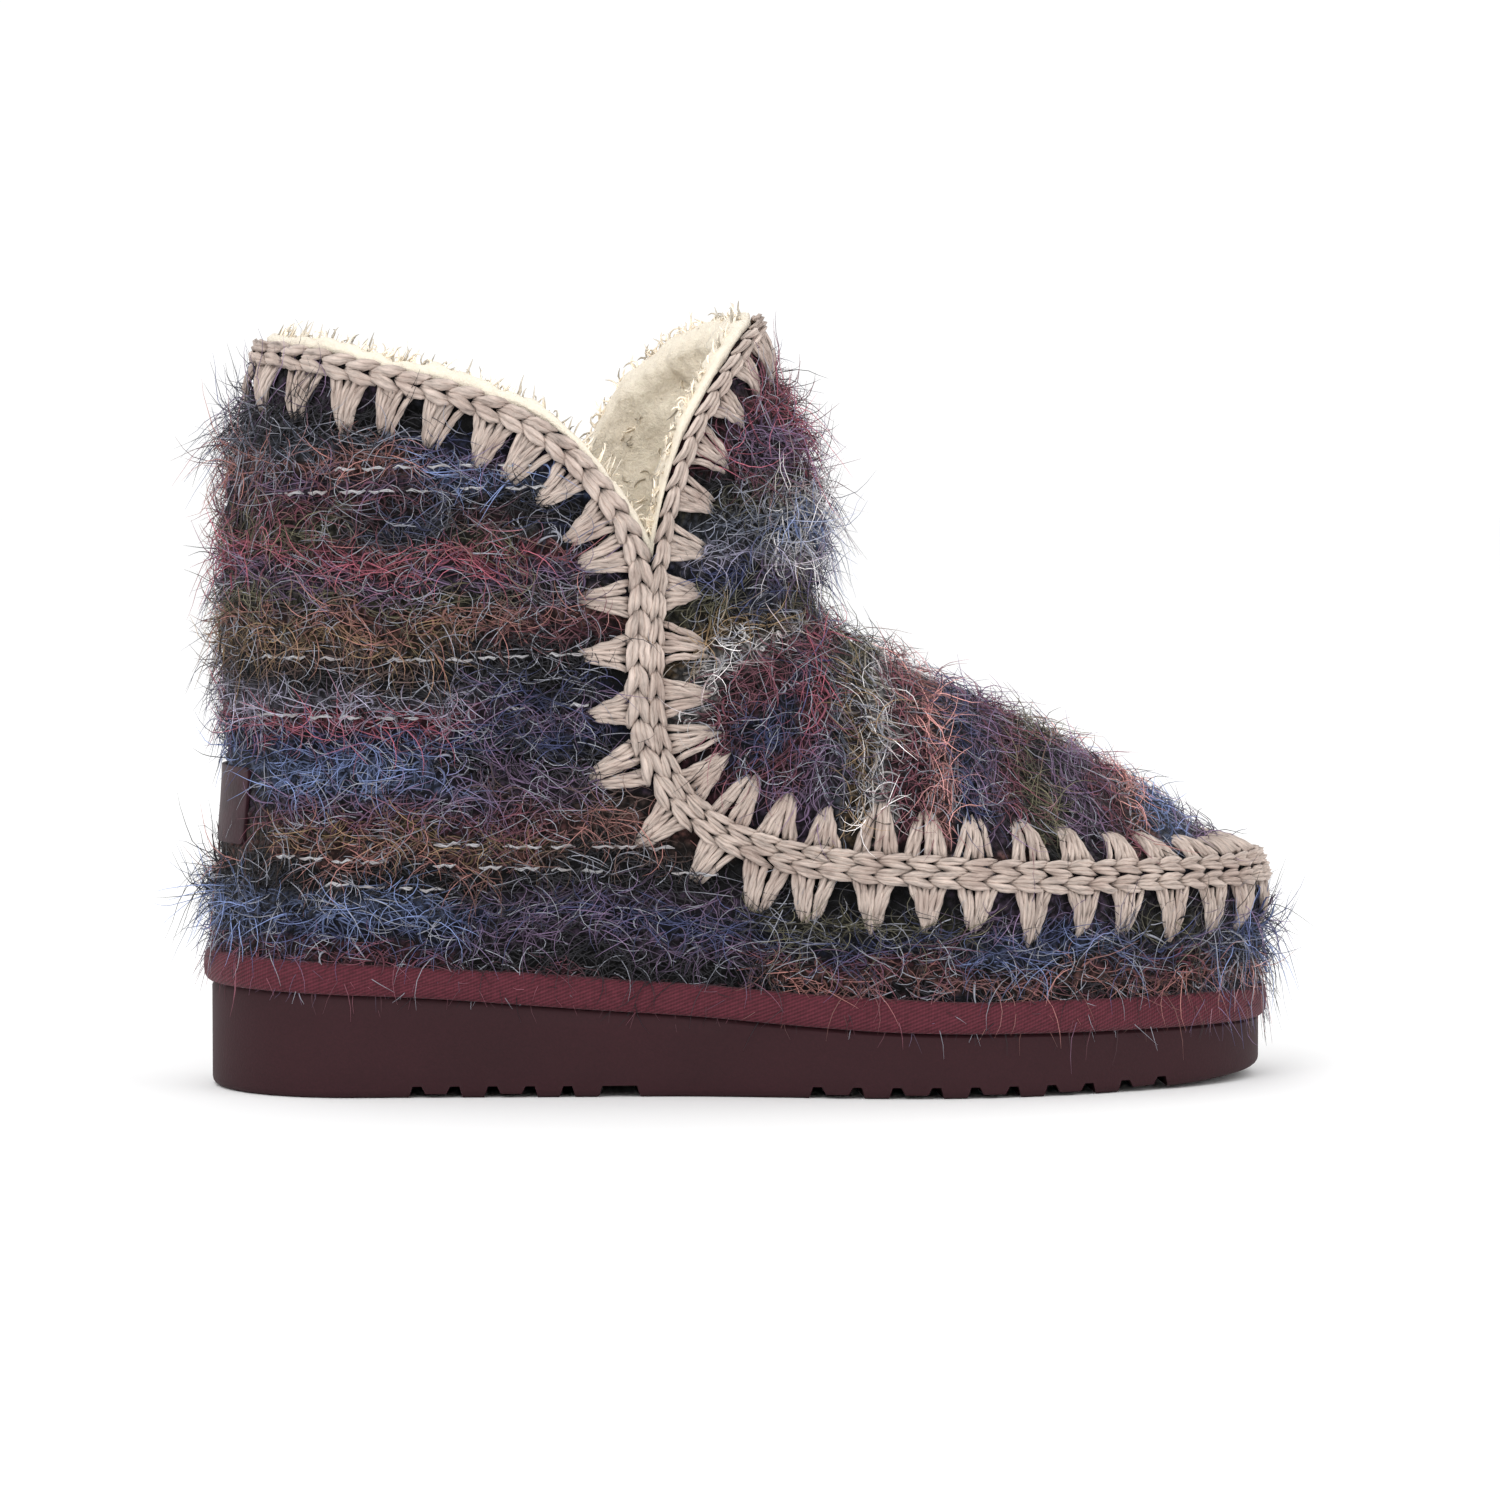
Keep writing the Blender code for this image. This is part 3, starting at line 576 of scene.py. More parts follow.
def quarter_widths(z):
    """Width of the quarter's chain at height z: narrow on the foot, wide on the shaft."""
    share = ease(z, height_of(CHAIN_WIDENS_FROM), height_of(CHAIN_WIDENS_TO))
    return FOOT_CHAIN_WIDTH + (SHAFT_CHAIN_WIDTH - FOOT_CHAIN_WIDTH) * share


def apron_widths(z):
    """Width of the apron's chain, the same everywhere."""
    return np.full(len(z), APRON_CHAIN_WIDTH)


# The two panels: rim table, lap of its edge, which way the panel lies, and its chain's width
PANELS = {
    "quarter": (BACK_RIM, 2, 1, quarter_widths),
    "apron": (FRONT_RIM, 0, -1, apron_widths),
}


def drift(points, size, seed):
    """Soft random values of about -1 to 1 that change over this size."""
    rng = np.random.default_rng(seed)
    waves = rng.normal(size=(14, 3)) * 1.6 / size
    phases = rng.uniform(0, 2 * math.pi, 14)
    return np.sin(points @ waves.T + phases).sum(axis=-1) / math.sqrt(14)


def place(points):
    """Points of the tables' own frame, in the row frame."""
    return np.asarray(points) + ORIGIN


def is_apron(points):
    """Which points of the outer face lie on the apron, inside the seam's loop."""
    found = np.zeros(points.shape[:-1], bool)
    for side in (-1, 1):
        x, z = edge_side(SEAM, side)
        edge = np.interp(points[..., 2], z[::-1], x[::-1])
        here = (points[..., 1] < centre_line(points[..., 0])) == (side < 0)
        found |= here & (points[..., 0] > edge) & (points[..., 2] > z[-1])
    return found


def course_droop(x, z):
    """How far the quarter's courses rise with the sole towards the heel, fading out up the shaft."""
    return (feather(x) - FOREFOOT_SOLE) * (1 - ease(z, 0.04, 0.09))


def course_place(points):
    """How far across the knit's courses each point lies, in millimetres, and which way, in x and z."""
    x, z = points[..., 0], points[..., 2]
    quarter = z - course_droop(x, z)
    fan_x, fan_z = FAN_POINT[0] * FOOT_LENGTH, height_of(FAN_POINT[1])
    angle = np.arctan2(np.maximum(fan_z - z, 0), np.maximum(fan_x - x, 1e-6))
    angle = np.where(z > fan_z, 0.0, np.where(x > fan_x, math.pi / 2, angle))
    apron = BOOT_HEIGHT - np.maximum(z, fan_z) + FAN_RADIUS * angle + np.maximum(x - fan_x, 0)
    apron = np.where((z > fan_z) & (x > fan_x), BOOT_HEIGHT - z, apron)
    on_apron = is_apron(points)
    across = np.where(on_apron, apron, quarter) * 1000
    lie_x = np.where(on_apron, np.sin(angle), 0.0)
    lie_z = np.where(on_apron, -np.cos(angle), 1.0)
    lie = np.stack([lie_x, np.zeros_like(lie_x), lie_z], axis=-1)
    return across, lie, on_apron


def yarn_colours(table, where, share):
    """Colours of a course table at places across it; share is how much of the second yarn shows."""
    ends = np.array([row[0] for row in table])
    rows = np.clip(np.searchsorted(ends, where), 0, len(table) - 1)
    first = np.array([YARNS[row[1]] for row in table])[rows]
    second = np.array([YARNS[row[2]] for row in table])[rows]
    return first + (second - first) * share[..., None]


def knit_colours(points, stray=1.0):
    """The knit's colour at points of the outer face: space-dyed courses with soft borders."""
    across, _, on_apron = course_place(points)
    wander = (drift(points, 0.018, 3) * 1.5 + drift(points, 0.005, 4) * 0.9) * stray
    patches = drift(points * np.array([1, 1, 2.5]), 0.030, 5)
    x = points[..., 0] / FOOT_LENGTH
    to_notch = np.clip(ease(x, 0.08, 0.34) + patches * 0.42, 0, 1)
    quarter = yarn_colours(QUARTER_COURSES, across + wander, ease(to_notch, 0.35, 0.65))
    mixed = ease(patches, -0.25, 0.25)
    front = yarn_colours(FRONT_COURSES, across + wander, mixed)
    apron = yarn_colours(APRON_COURSES, across + wander, ease(drift(points, 0.022, 6), -0.2, 0.2))
    side = np.where((x > SIDE_JOIN)[..., None], front, quarter)
    found = np.where(on_apron[..., None], apron, side)
    grey = found.mean(axis=-1, keepdims=True)
    return grey + (found - grey) * YARN_COLOUR


def grid_faces(rings, count, closed_rings=True, closed_loft=False):
    """Quads between rings of equal length, whose points are numbered ring by ring."""
    i = np.arange(rings if closed_loft else rings - 1)[:, None]
    j = np.arange(count if closed_rings else count - 1)[None, :]
    low, high = i * count, (i + 1) % rings * count
    k = (j + 1) % count
    return np.stack([low + j, low + k, high + k, high + j], axis=-1).reshape(-1, 4)


def make_mesh(name, points, faces, material=None):
    """A smooth mesh of points and quads."""
    mesh = bpy.data.meshes.new(name)
    mesh.from_pydata(np.reshape(points, (-1, 3)).tolist(), [], faces.tolist())
    if material:
        mesh.materials.append(material)
    mesh.shade_smooth()
    return mesh


def loft(name, rings, material=None, **closing):
    """A smooth mesh through rings of points of the tables' frame."""
    return make_mesh(name, place(rings), grid_faces(*np.shape(rings)[:2], **closing), material)


def show(name, data):
    """A new object in the scene, at the origin and unturned."""
    obj = bpy.data.objects.new(name, data)
    bpy.context.scene.collection.objects.link(obj)
    return obj


def dress(obj, slot, *nodes):
    """Ride on the boot and stand for the nodes that it replaces, which it hides. The slot is not used.
    """
    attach(obj, "root")
    if nodes:
        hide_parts(*nodes)


def give(mesh, name, kind, values):
    """A value, vector or colour for each point of a mesh."""
    values = np.asarray(values, np.int32 if kind == "INT" else np.float32)
    attribute = mesh.attributes.new(name, kind, "POINT")
    if kind == "FLOAT_COLOR":
        values = np.concatenate([values, np.ones((len(values), 1), np.float32)], axis=1)
    key = {"FLOAT_VECTOR": "vector", "FLOAT_COLOR": "color"}.get(kind, "value")
    attribute.data.foreach_set(key, values.ravel())


class Wiring:
    """Adds nodes to a tree and joins them, so that a tree reads as the steps it takes."""

    def __init__(self, tree):
        self.tree = tree

    def add(self, kind, inputs=None, **settings):
        """A node with its settings; each input is a value, or a socket to join to."""
        node = self.tree.nodes.new(kind)
        for name, value in settings.items():
            setattr(node, name, value)
        for where, value in (inputs or {}).items():
            if isinstance(value, bpy.types.NodeSocket):
                self.tree.links.new(value, node.inputs[where])
            else:
                node.inputs[where].default_value = value
        return node

    def math(self, operation, *values):
        node = self.add("ShaderNodeMath", dict(enumerate(values)), operation=operation)
        return node.outputs[0]

    def times(self, first, second):
        return self.math("MULTIPLY", first, second)

    def plus(self, first, second):
        return self.math("ADD", first, second)

    def minus(self, first, second):
        return self.math("SUBTRACT", first, second)

    def vector(self, operation, *values):
        """Vector maths, as math is for numbers."""
        node = self.add("ShaderNodeVectorMath", dict(enumerate(values)), operation=operation)
        return node.outputs["Vector"]

    def scaled(self, vector, share):
        node = self.add("ShaderNodeVectorMath", {0: vector, "Scale": share}, operation="SCALE")
        return node.outputs["Vector"]

    def read(self, name, kind="FLOAT"):
        """An attribute of the geometry."""
        node = self.add("GeometryNodeInputNamedAttribute", {"Name": name}, data_type=kind)
        return node.outputs["Attribute"]

    def store(self, geometry, name, kind, value, domain="POINT"):
        """The geometry with a value kept on it as an attribute."""
        values = {"Geometry": geometry, "Name": name, "Value": value}
        node = self.add("GeometryNodeStoreNamedAttribute", values, data_type=kind, domain=domain)
        return node.outputs["Geometry"]

    def ramp(self, factor, *stops):
        """A colour ramp: each stop is its place and its colour."""
        node = self.add("ShaderNodeValToRGB", {"Fac": factor})
        elements = node.color_ramp.elements
        while len(elements) < len(stops):
            elements.new(1.0)
        for element, (spot, colour) in zip(elements, stops):
            element.position = spot
            element.color = (*colour, 1.0)
        return node.outputs["Color"]

    def mix(self, share, first, second, blend="MIX"):
        """Two colours mixed; sockets 6 and 7 are the node's colours, and 2 is its result."""
        given = {0: share}
        for where, colour in ((6, first), (7, second)):
            given[where] = colour if isinstance(colour, bpy.types.NodeSocket) else (*colour, 1.0)
        return self.add("ShaderNodeMix", given, data_type="RGBA", blend_type=blend).outputs[2]

    def split(self, vector):
        """The three numbers of a vector, by the names X, Y and Z."""
        return self.add("ShaderNodeSeparateXYZ", {0: vector}).outputs


def geometry_tree(name, inputs):
    """A geometry tree with named inputs, and the wiring, the input node and a way to end it."""
    tree = bpy.data.node_groups.new(name, "GeometryNodeTree")
    tree.interface.new_socket("Geometry", in_out="INPUT", socket_type="NodeSocketGeometry")
    for label, kind in inputs:
        tree.interface.new_socket(label, in_out="INPUT", socket_type="NodeSocket" + kind)
    tree.interface.new_socket("Geometry", in_out="OUTPUT", socket_type="NodeSocketGeometry")
    wiring = Wiring(tree)
    return tree, wiring, wiring.add("NodeGroupInput").outputs


def end_tree(wiring, geometry, finish):
    """End a tree with smooth faces and its material."""
    smoothed = wiring.add("GeometryNodeSetShadeSmooth", {"Geometry": geometry}).outputs["Geometry"]
    painted = wiring.add("GeometryNodeSetMaterial", {"Geometry": smoothed, "Material": finish})
    out = wiring.add("NodeGroupOutput")
    wiring.tree.links.new(painted.outputs["Geometry"], out.inputs["Geometry"])


def evaluated_mesh(obj):
    """A plain mesh of an object as its modifiers leave it."""
    graph = bpy.context.evaluated_depsgraph_get()
    return bpy.data.meshes.new_from_object(obj.evaluated_get(graph), depsgraph=graph)


def grown(name, source, tree, values, keep):
    """A plain mesh object from a geometry tree on a source mesh, with only the kept attributes."""
    carrier = show(name + "_source", source)
    modifier = carrier.modifiers.new(name, "NODES")
    modifier.node_group = tree
    for item in tree.interface.items_tree:
        if item.item_type == "SOCKET" and item.in_out == "INPUT" and item.name in values:
            modifier[item.identifier] = values[item.name]
    mesh = evaluated_mesh(carrier)
    bpy.data.objects.remove(carrier)
    bpy.data.meshes.remove(source)
    for attribute in list(mesh.attributes):
        if not attribute.is_internal and not attribute.is_required and attribute.name not in keep:
            mesh.attributes.remove(attribute)
    mesh.materials.clear()
    mesh.materials.append(values["Finish"])
    mesh.name = name
    return show(name, mesh)


def hair_tree():
    """Hairs on a surface. Each starts at a random place, leans along the course and curls."""
    inputs = (
        ("Hairs", "Float"), ("Length", "Float"), ("Radius", "Float"), ("Lift", "Float"),
        ("Spread", "Float"), ("Curl", "Float"), ("Points", "Int"), ("Light", "Float"),
        ("Dark", "Float"), ("Bright", "Float"), ("Seed", "Int"), ("Flat", "Bool"),
        ("Finish", "Material"),
    )
    tree, w, given = geometry_tree("hairs", inputs)
    cover = w.times(w.read("cover"), given["Hairs"])
    spread = w.add(
        "GeometryNodeDistributePointsOnFaces",
        {"Mesh": given["Geometry"], "Density": cover, "Seed": given["Seed"]},
        distribute_method="RANDOM",
    )
    points = spread.outputs["Points"]
    position = w.add("GeometryNodeInputPosition").outputs[0]
    points = w.store(points, "root", "FLOAT_VECTOR", position)
    points = w.store(points, "out", "FLOAT_VECTOR", spread.outputs["Normal"])
    for offset, name in enumerate(("lean", "sway", "fate")):
        seed = w.plus(given["Seed"], 11.0 * (offset + 1))
        limits = {"Seed": seed, 0: (-1, -1, -1), 1: (1, 1, 1)}
        random = w.add("FunctionNodeRandomValue", limits, data_type="FLOAT_VECTOR")
        points = w.store(points, name, "FLOAT_VECTOR", random.outputs[0])
    line = w.add("GeometryNodeCurvePrimitiveLine").outputs["Curve"]
    line = w.add("GeometryNodeResampleCurve", {"Curve": line, "Count": given["Points"]}).outputs[0]
    line = w.store(line, "along", "FLOAT", w.split(position)["Z"])
    placed = w.add("GeometryNodeInstanceOnPoints", {"Points": points, "Instance": line})
    hairs = w.add("GeometryNodeRealizeInstances", {"Geometry": placed.outputs[0]}).outputs[0]
    shape = hair_shape(w, given)
    hairs = w.add("GeometryNodeSetPosition", {"Geometry": hairs, "Position": shape}).outputs[0]
    hairs = w.store(hairs, "tint", "FLOAT_COLOR", hair_tint(w, given))
    facing = {"Curve": hairs, "Normal": w.read("out", "FLOAT_VECTOR")}
    hairs = w.add("GeometryNodeSetCurveNormal", facing, mode="FREE").outputs["Curve"]
    taper = w.minus(1.0, w.times(w.math("POWER", w.read("along"), 2.0), 0.8))
    width = w.times(taper, given["Radius"])
    ring = w.add("GeometryNodeCurvePrimitiveCircle", {"Resolution": 3, "Radius": 1.0}).outputs["Curve"]
    ends = {"Start": (0, -STRIP_REACH, 0), "End": (0, STRIP_REACH, 0)}
    strip = w.add("GeometryNodeCurvePrimitiveLine", ends).outputs["Curve"]
    choice = {"Switch": given["Flat"], "False": ring, "True": strip}
    profile = w.add("GeometryNodeSwitch", choice, input_type="GEOMETRY")
    tubes = w.add(
        "GeometryNodeCurveToMesh",
        {"Curve": hairs, "Profile Curve": profile.outputs[0], "Scale": width, "Fill Caps": True},
    )
    end_tree(w, tubes.outputs["Mesh"], given["Finish"])
    return tree


def hair_shape(w, given):
    """Where each point of a hair lies: an arc along the course that rises, waves and falls."""
    t = w.read("along")
    out = w.read("out", "FLOAT_VECTOR")
    way = w.read("way", "FLOAT_VECTOR")
    side = w.vector("CROSS_PRODUCT", out, way)
    lean = w.split(w.read("lean", "FLOAT_VECTOR"))
    sway = w.split(w.read("sway", "FLOAT_VECTOR"))
    bend = w.plus(w.times(sway["Z"], given["Curl"]), 0.01)
    turned = w.times(bend, t)
    ahead = w.math("DIVIDE", w.math("SINE", turned), bend)
    aside = w.math("DIVIDE", w.minus(1.0, w.math("COSINE", turned)), bend)
    start = w.times(lean["Z"], given["Spread"])
    sine, cosine = w.math("SINE", start), w.math("COSINE", start)
    forward = w.minus(w.times(ahead, cosine), w.times(aside, sine))
    forward = w.times(forward, w.math("SIGN", lean["X"]))
    sideways = w.plus(w.times(ahead, sine), w.times(aside, cosine))
    rise = w.times(given["Lift"], w.plus(0.3, w.math("ABSOLUTE", lean["Y"])))
    arch = w.times(t, w.minus(1.3, w.times(t, 0.6)))
    wave = w.times(w.math("SINE", w.plus(w.times(t, 7.0), sway["Y"])), 0.05)
    upward = w.plus(w.times(rise, arch), w.times(wave, t))
    drop = w.times(w.read("fall"), w.math("POWER", t, 1.5))
    parts = (
        w.scaled(out, upward),
        w.scaled(way, forward),
        w.scaled(side, sideways),
        w.scaled((0.0, 0.0, -1.0), drop),
    )
    total = parts[0]
    for part in parts[1:]:
        total = w.vector("ADD", total, part)
    reach = w.times(given["Length"], w.read("reach"))
    longer = w.times(w.math("ABSOLUTE", sway["X"]), 0.7)
    length = w.times(reach, w.plus(0.6, longer))
    end = w.vector("ADD", w.read("root", "FLOAT_VECTOR"), w.scaled(total, length))
    return w.vector("MAXIMUM", end, (-1.0, -1.0, LOWEST_HAIR))


def hair_tint(w, given):
    """Each hair's colour: its course's yarn times its kind's Bright, which on the eyelash hairs is a
    painted highlight, then lighter or darker at random, and some grey or black ones.
    """
    fate = w.split(w.read("fate", "FLOAT_VECTOR"))
    # Painted highlight: Bright lifts the eyelash hairs well above their yarn's colour; the spread of
    # 0.55 either way is each hair's own tone.
    bright = w.times(given["Bright"], w.plus(1.0, w.times(fate["X"], 0.55)))
    grey = w.add("ShaderNodeCombineXYZ", {0: bright, 1: bright, 2: bright}).outputs[0]
    colour = w.mix(1.0, w.read("tint", "FLOAT_COLOR"), grey, "MULTIPLY")
    light = w.math("LESS_THAN", fate["Y"], given["Light"])
    dark = w.math("LESS_THAN", fate["Z"], given["Dark"])
    return w.mix(dark, w.mix(light, colour, PALE_HAIR), DARK_HAIR)


def stitch_tree():
    """Stitches on points. Each is one of the collection's, turned to its place's own way."""
    inputs = (("Stitches", "Collection"), ("Finish", "Material"))
    tree, w, given = geometry_tree("stitches", inputs)
    kinds = w.add(
        "GeometryNodeCollectionInfo",
        {"Collection": given["Stitches"], "Separate Children": True, "Reset Children": True},
    )
    axes = {
        "Primary Axis": w.read("out", "FLOAT_VECTOR"),
        "Secondary Axis": w.read("ahead", "FLOAT_VECTOR"),
    }
    turned = w.add("FunctionNodeAxesToRotation", axes, primary_axis="Z", secondary_axis="X")
    placed = w.add(
        "GeometryNodeInstanceOnPoints",
        {
            "Points": given["Geometry"],
            "Instance": kinds.outputs[0],
            "Pick Instance": True,
            "Instance Index": w.read("kind", "INT"),
            "Rotation": turned.outputs[0],
            "Scale": w.read("size", "FLOAT_VECTOR"),
        },
    )
    plain = w.add("GeometryNodeRealizeInstances", {"Geometry": placed.outputs[0]}).outputs[0]
    end_tree(w, plain, given["Finish"])
    return tree


class Strands:
    """Collects tubes of yarn, each along a path, into one mesh with a map along the yarn."""

    def __init__(self):
        self.points, self.faces, self.maps = [], [], []
        self.count = 0

    def tube(self, path, radii, sides, lane=0.0):
        path = np.asarray(path, float)
        ahead = unit(np.gradient(path, axis=0))
        helper = np.array([0.0, 0.0, 1.0])
        if abs(ahead[0] @ helper) > 0.9:
            helper = np.array([0.0, 1.0, 0.0])
        first = unit(np.cross(ahead, helper) + 1e-9)
        second = np.cross(ahead, first)
        angles = np.arange(sides) * 2 * math.pi / sides
        ring = first[:, None] * np.cos(angles)[:, None] + second[:, None] * np.sin(angles)[:, None]
        points = path[:, None] + ring * np.asarray(radii)[:, None, None]
        rings = len(path)
        faces = grid_faces(rings, sides) + self.count
        length = run_length(path)
        i = np.repeat(np.arange(rings - 1), sides)
        j = np.tile(np.arange(sides), rings - 1)
        corners = [(i, j), (i, j + 1), (i + 1, j + 1), (i + 1, j)]
        maps = [np.stack([length[a], lane + b / sides], axis=-1) for a, b in corners]
        self.maps.extend(np.stack(maps, axis=1).reshape(-1, 2))
        self.faces.extend(faces.tolist())
        for end, start in ((False, 0), (True, (rings - 1) * sides)):
            cap = [self.count + start + k for k in range(sides)]
            self.faces.append(cap if end else cap[::-1])
            self.maps.extend([[length[-1] if end else 0.0, lane]] * sides)
        self.points.extend(points.reshape(-1, 3))
        self.count += rings * sides

    def yarn(self, path, radii, plies, twist, sides, start=0.0):
        """Plies twisted round a path, twist turns per metre."""
        path = np.asarray(path, float)
        radii = np.asarray(radii, float)
        ahead = unit(np.gradient(path, axis=0))
        first = unit(np.cross(ahead, [0.05, 0.1, 1.0]))
        second = np.cross(ahead, first)
        length = run_length(path)
        for ply in range(plies):
            angle = start + 2 * math.pi * (ply / plies + twist * length)
            aside = first * np.cos(angle)[:, None] + second * np.sin(angle)[:, None]
            self.tube(path + aside * (radii * 0.5)[:, None], radii * 0.62, sides, lane=start + ply)

    def mesh(self, name):
        mesh = bpy.data.meshes.new(name)
        mesh.from_pydata([tuple(p) for p in self.points], [], self.faces)
        layer = mesh.uv_layers.new(name="UVMap")
        layer.data.foreach_set("uv", np.asarray(self.maps, np.float32).ravel())
        return mesh


def stitch_set(name, builders):
    """A collection of stitch meshes, one for each builder's strands."""
    collection = bpy.data.collections.new(name)
    for i, strands in enumerate(builders):
        obj = bpy.data.objects.new(f"{name}_{i}", strands.mesh(f"{name}_{i}"))
        collection.objects.link(obj)
    return collection


def drop_set(collection):
    """Take away a stitch collection once its stitches are in the pieces."""
    for obj in list(collection.objects):
        mesh = obj.data
        bpy.data.objects.remove(obj)
        bpy.data.meshes.remove(mesh)
    bpy.data.collections.remove(collection)


def stitched(name, points, out, ahead, size, kind, collection, material):
    """A piece made of stitches set on points."""
    source = bpy.data.meshes.new(name + "_points")
    source.from_pydata(points.tolist(), [], [])
    give(source, "out", "FLOAT_VECTOR", out)
    give(source, "ahead", "FLOAT_VECTOR", ahead)
    give(source, "size", "FLOAT_VECTOR", size)
    give(source, "kind", "INT", kind)
    values = {"Stitches": collection, "Finish": material}
    return grown(name, source, stitch_tree(), values, ("UVMap",))


# Sizes and colours that a user would change

def length_setting(name, description, default, low, high):
    """A length in metres."""
    return FloatProperty(
        name=name, description=description, default=default, min=low, max=high, unit="LENGTH",
    )


def colour_setting(name, description, default):
    """A colour as the light values that shaders take."""
    return FloatVectorProperty(
        name=name, description=description, default=default, subtype="COLOR", size=3, min=0, max=1,
    )


class YarnSizes(PropertyGroup):
    """Sizes of the yarns, stitches and hairs."""

    hair_length: length_setting(
        "Hair length", "Usual length of an eyelash hair", 0.0105, 0.002, 0.03,
    )
    hair_radius: length_setting(
        "Hair radius", "Radius of an eyelash hair at its root", 0.00014, 0.00005, 0.0005,
    )
    hairs_per_cm2: FloatProperty(
        name="Hairs per cm2", description="How many hairs grow on a square centimetre of knit",
        default=66.0, min=0.0, max=120.0,
    )
    course_relief: length_setting(
        "Course relief", "How far the knit's courses stand out", 0.0010, 0.0, 0.003,
    )
    stitch_length: length_setting(
        "Chain stitch", "Length of one stitch of the crocheted chains", 0.0066, 0.003, 0.012,
    )
    fan_pitch: length_setting(
        "Fan pitch", "Distance from one crocheted fan to the next", 0.0128, 0.008, 0.02,
    )
    fan_length: length_setting(
        "Fan length", "Length of a fan from the chain to its hole", 0.0112, 0.005, 0.02,
    )
    pile: length_setting(
        "Fleece pile", "Thickness of the fleece lining", 0.0065, 0.002, 0.012,
    )
    seed: IntProperty(name="Seed", description="Seed of all that is random", default=7)


class BootColours(PropertyGroup):
    """Colours of the boot's materials apart from its knit."""

    edging: colour_setting(
        "Edging yarn", "Colour of the crocheted chains and fans", tone(203, 187, 177),
    )
    fleece: colour_setting(
        "Fleece", "Colour of the lining and footbed", tone(241, 230, 212),
    )
    tape: colour_setting(
        "Tape", "Colour of the twill tape", tone(86, 34, 45),
    )
    sole: colour_setting(
        "Sole", "Colour of the foam sole", tone(47, 18, 24),
    )
    leather: colour_setting(
        "Leather", "Colour of the heel patch", tone(44, 20, 27),
    )
    thread: colour_setting(
        "White thread", "Colour of the threads laid along the courses", tone(205, 204, 208),
    )


def sizes():
    """The sizes that the panel shows."""
    return bpy.context.scene.boot_sizes


def colours():
    """The colours that the panel shows."""
    return bpy.context.scene.boot_colours


# Materials

def new_material(name):
    """A material, the wiring of its nodes and its shader."""
    material = bpy.data.materials.new(name)
    material.use_nodes = True
    wiring = Wiring(material.node_tree)
    return material, wiring, material.node_tree.nodes["Principled BSDF"]


def set_shader(wiring, shader, colour, roughness, **constants):
    """A colour from the nodes, and constants on the shader's own sockets."""
    wiring.tree.links.new(colour, shader.inputs["Base Color"])
    shader.inputs["Roughness"].default_value = roughness
    for name, value in constants.items():
        shader.inputs[name.replace("_", " ")].default_value = value


def set_bump(wiring, shader, height, strength, distance):
    """Fine relief on the shader."""
    bump = wiring.add("ShaderNodeBump", {"Height": height, "Strength": strength, "Distance": distance})
    wiring.tree.links.new(bump.outputs["Normal"], shader.inputs["Normal"])


def noise(wiring, where, scale, detail=3.0, roughness=0.5):
    """Soft noise, about 0 to 1."""
    given = {"Vector": where, "Scale": scale, "Detail": detail, "Roughness": roughness}
    return wiring.add("ShaderNodeTexNoise", given).outputs["Fac"]


def object_place(wiring):
    """The place on the piece, in its own frame."""
    return wiring.add("ShaderNodeTexCoord").outputs["Object"]


def shaded(colour, share):
    """A colour made darker, or lighter where share is over 1."""
    return tuple(min(1.0, value * share) for value in colour)


def wool_yarn(name, colour):
    """Soft spun wool: streaks and fibres along the yarn, partly its own tone and partly painted shade
    in the grooves and painted highlight on the ridges, with warmer and greyer patches.
    """
    material, w, shader = new_material(name)
    along = w.add("ShaderNodeUVMap", uv_map="UVMap").outputs["UV"]
    stretched = w.vector("MULTIPLY", along, (160.0, 3.0, 1.0))
    fibre_place = w.vector("MULTIPLY", along, (420.0, 16.0, 1.0))
    where = object_place(w)
    mixed = w.vector("ADD", stretched, w.scaled(where, 40.0))
    streaks = noise(w, mixed, 1.0, 4.0, 0.65)
    fibres = noise(w, w.vector("ADD", fibre_place, w.scaled(where, 90.0)), 1.0, 2.0, 0.6)
    patches = noise(w, where, 120.0, 2.0)
    # Painted shade and highlight, partly the yarn's own streaky tone: the colour runs from 0.30 where
    # the streaks' bump is low to 1.38 where it is high.
    base = w.ramp(
        streaks,
        (0.28, shaded(colour, 0.30)),
        (0.41, shaded(colour, 0.72)),
        (0.55, colour),
        (0.75, shaded(colour, 1.38)),
    )
    share = w.ramp(patches, (0.45, (0, 0, 0)), (0.7, (0.35, 0.35, 0.35)))
    warm = w.mix(share, base, (0.26, 0.16, 0.13))
    set_shader(w, shader, warm, 0.92, Sheen_Weight=0.1, Sheen_Roughness=0.5, Specular_IOR_Level=0.15)
    relief = w.plus(w.times(streaks, 0.6), w.times(fibres, 0.5))
    set_bump(w, shader, relief, 0.7, 0.0005)
    return material


def hair_finish(name, roughness, gloss):
    """Fine fibre that takes each hair's own colour."""
    material, w, shader = new_material(name)
    tint = w.add("ShaderNodeAttribute", attribute_name="tint").outputs["Color"]
    fade = noise(w, object_place(w), 600.0, 2.0)
    colour = w.mix(w.times(fade, 0.35), tint, (0, 0, 0), "MULTIPLY")
    set_shader(w, shader, colour, roughness, Specular_IOR_Level=gloss)
    return material


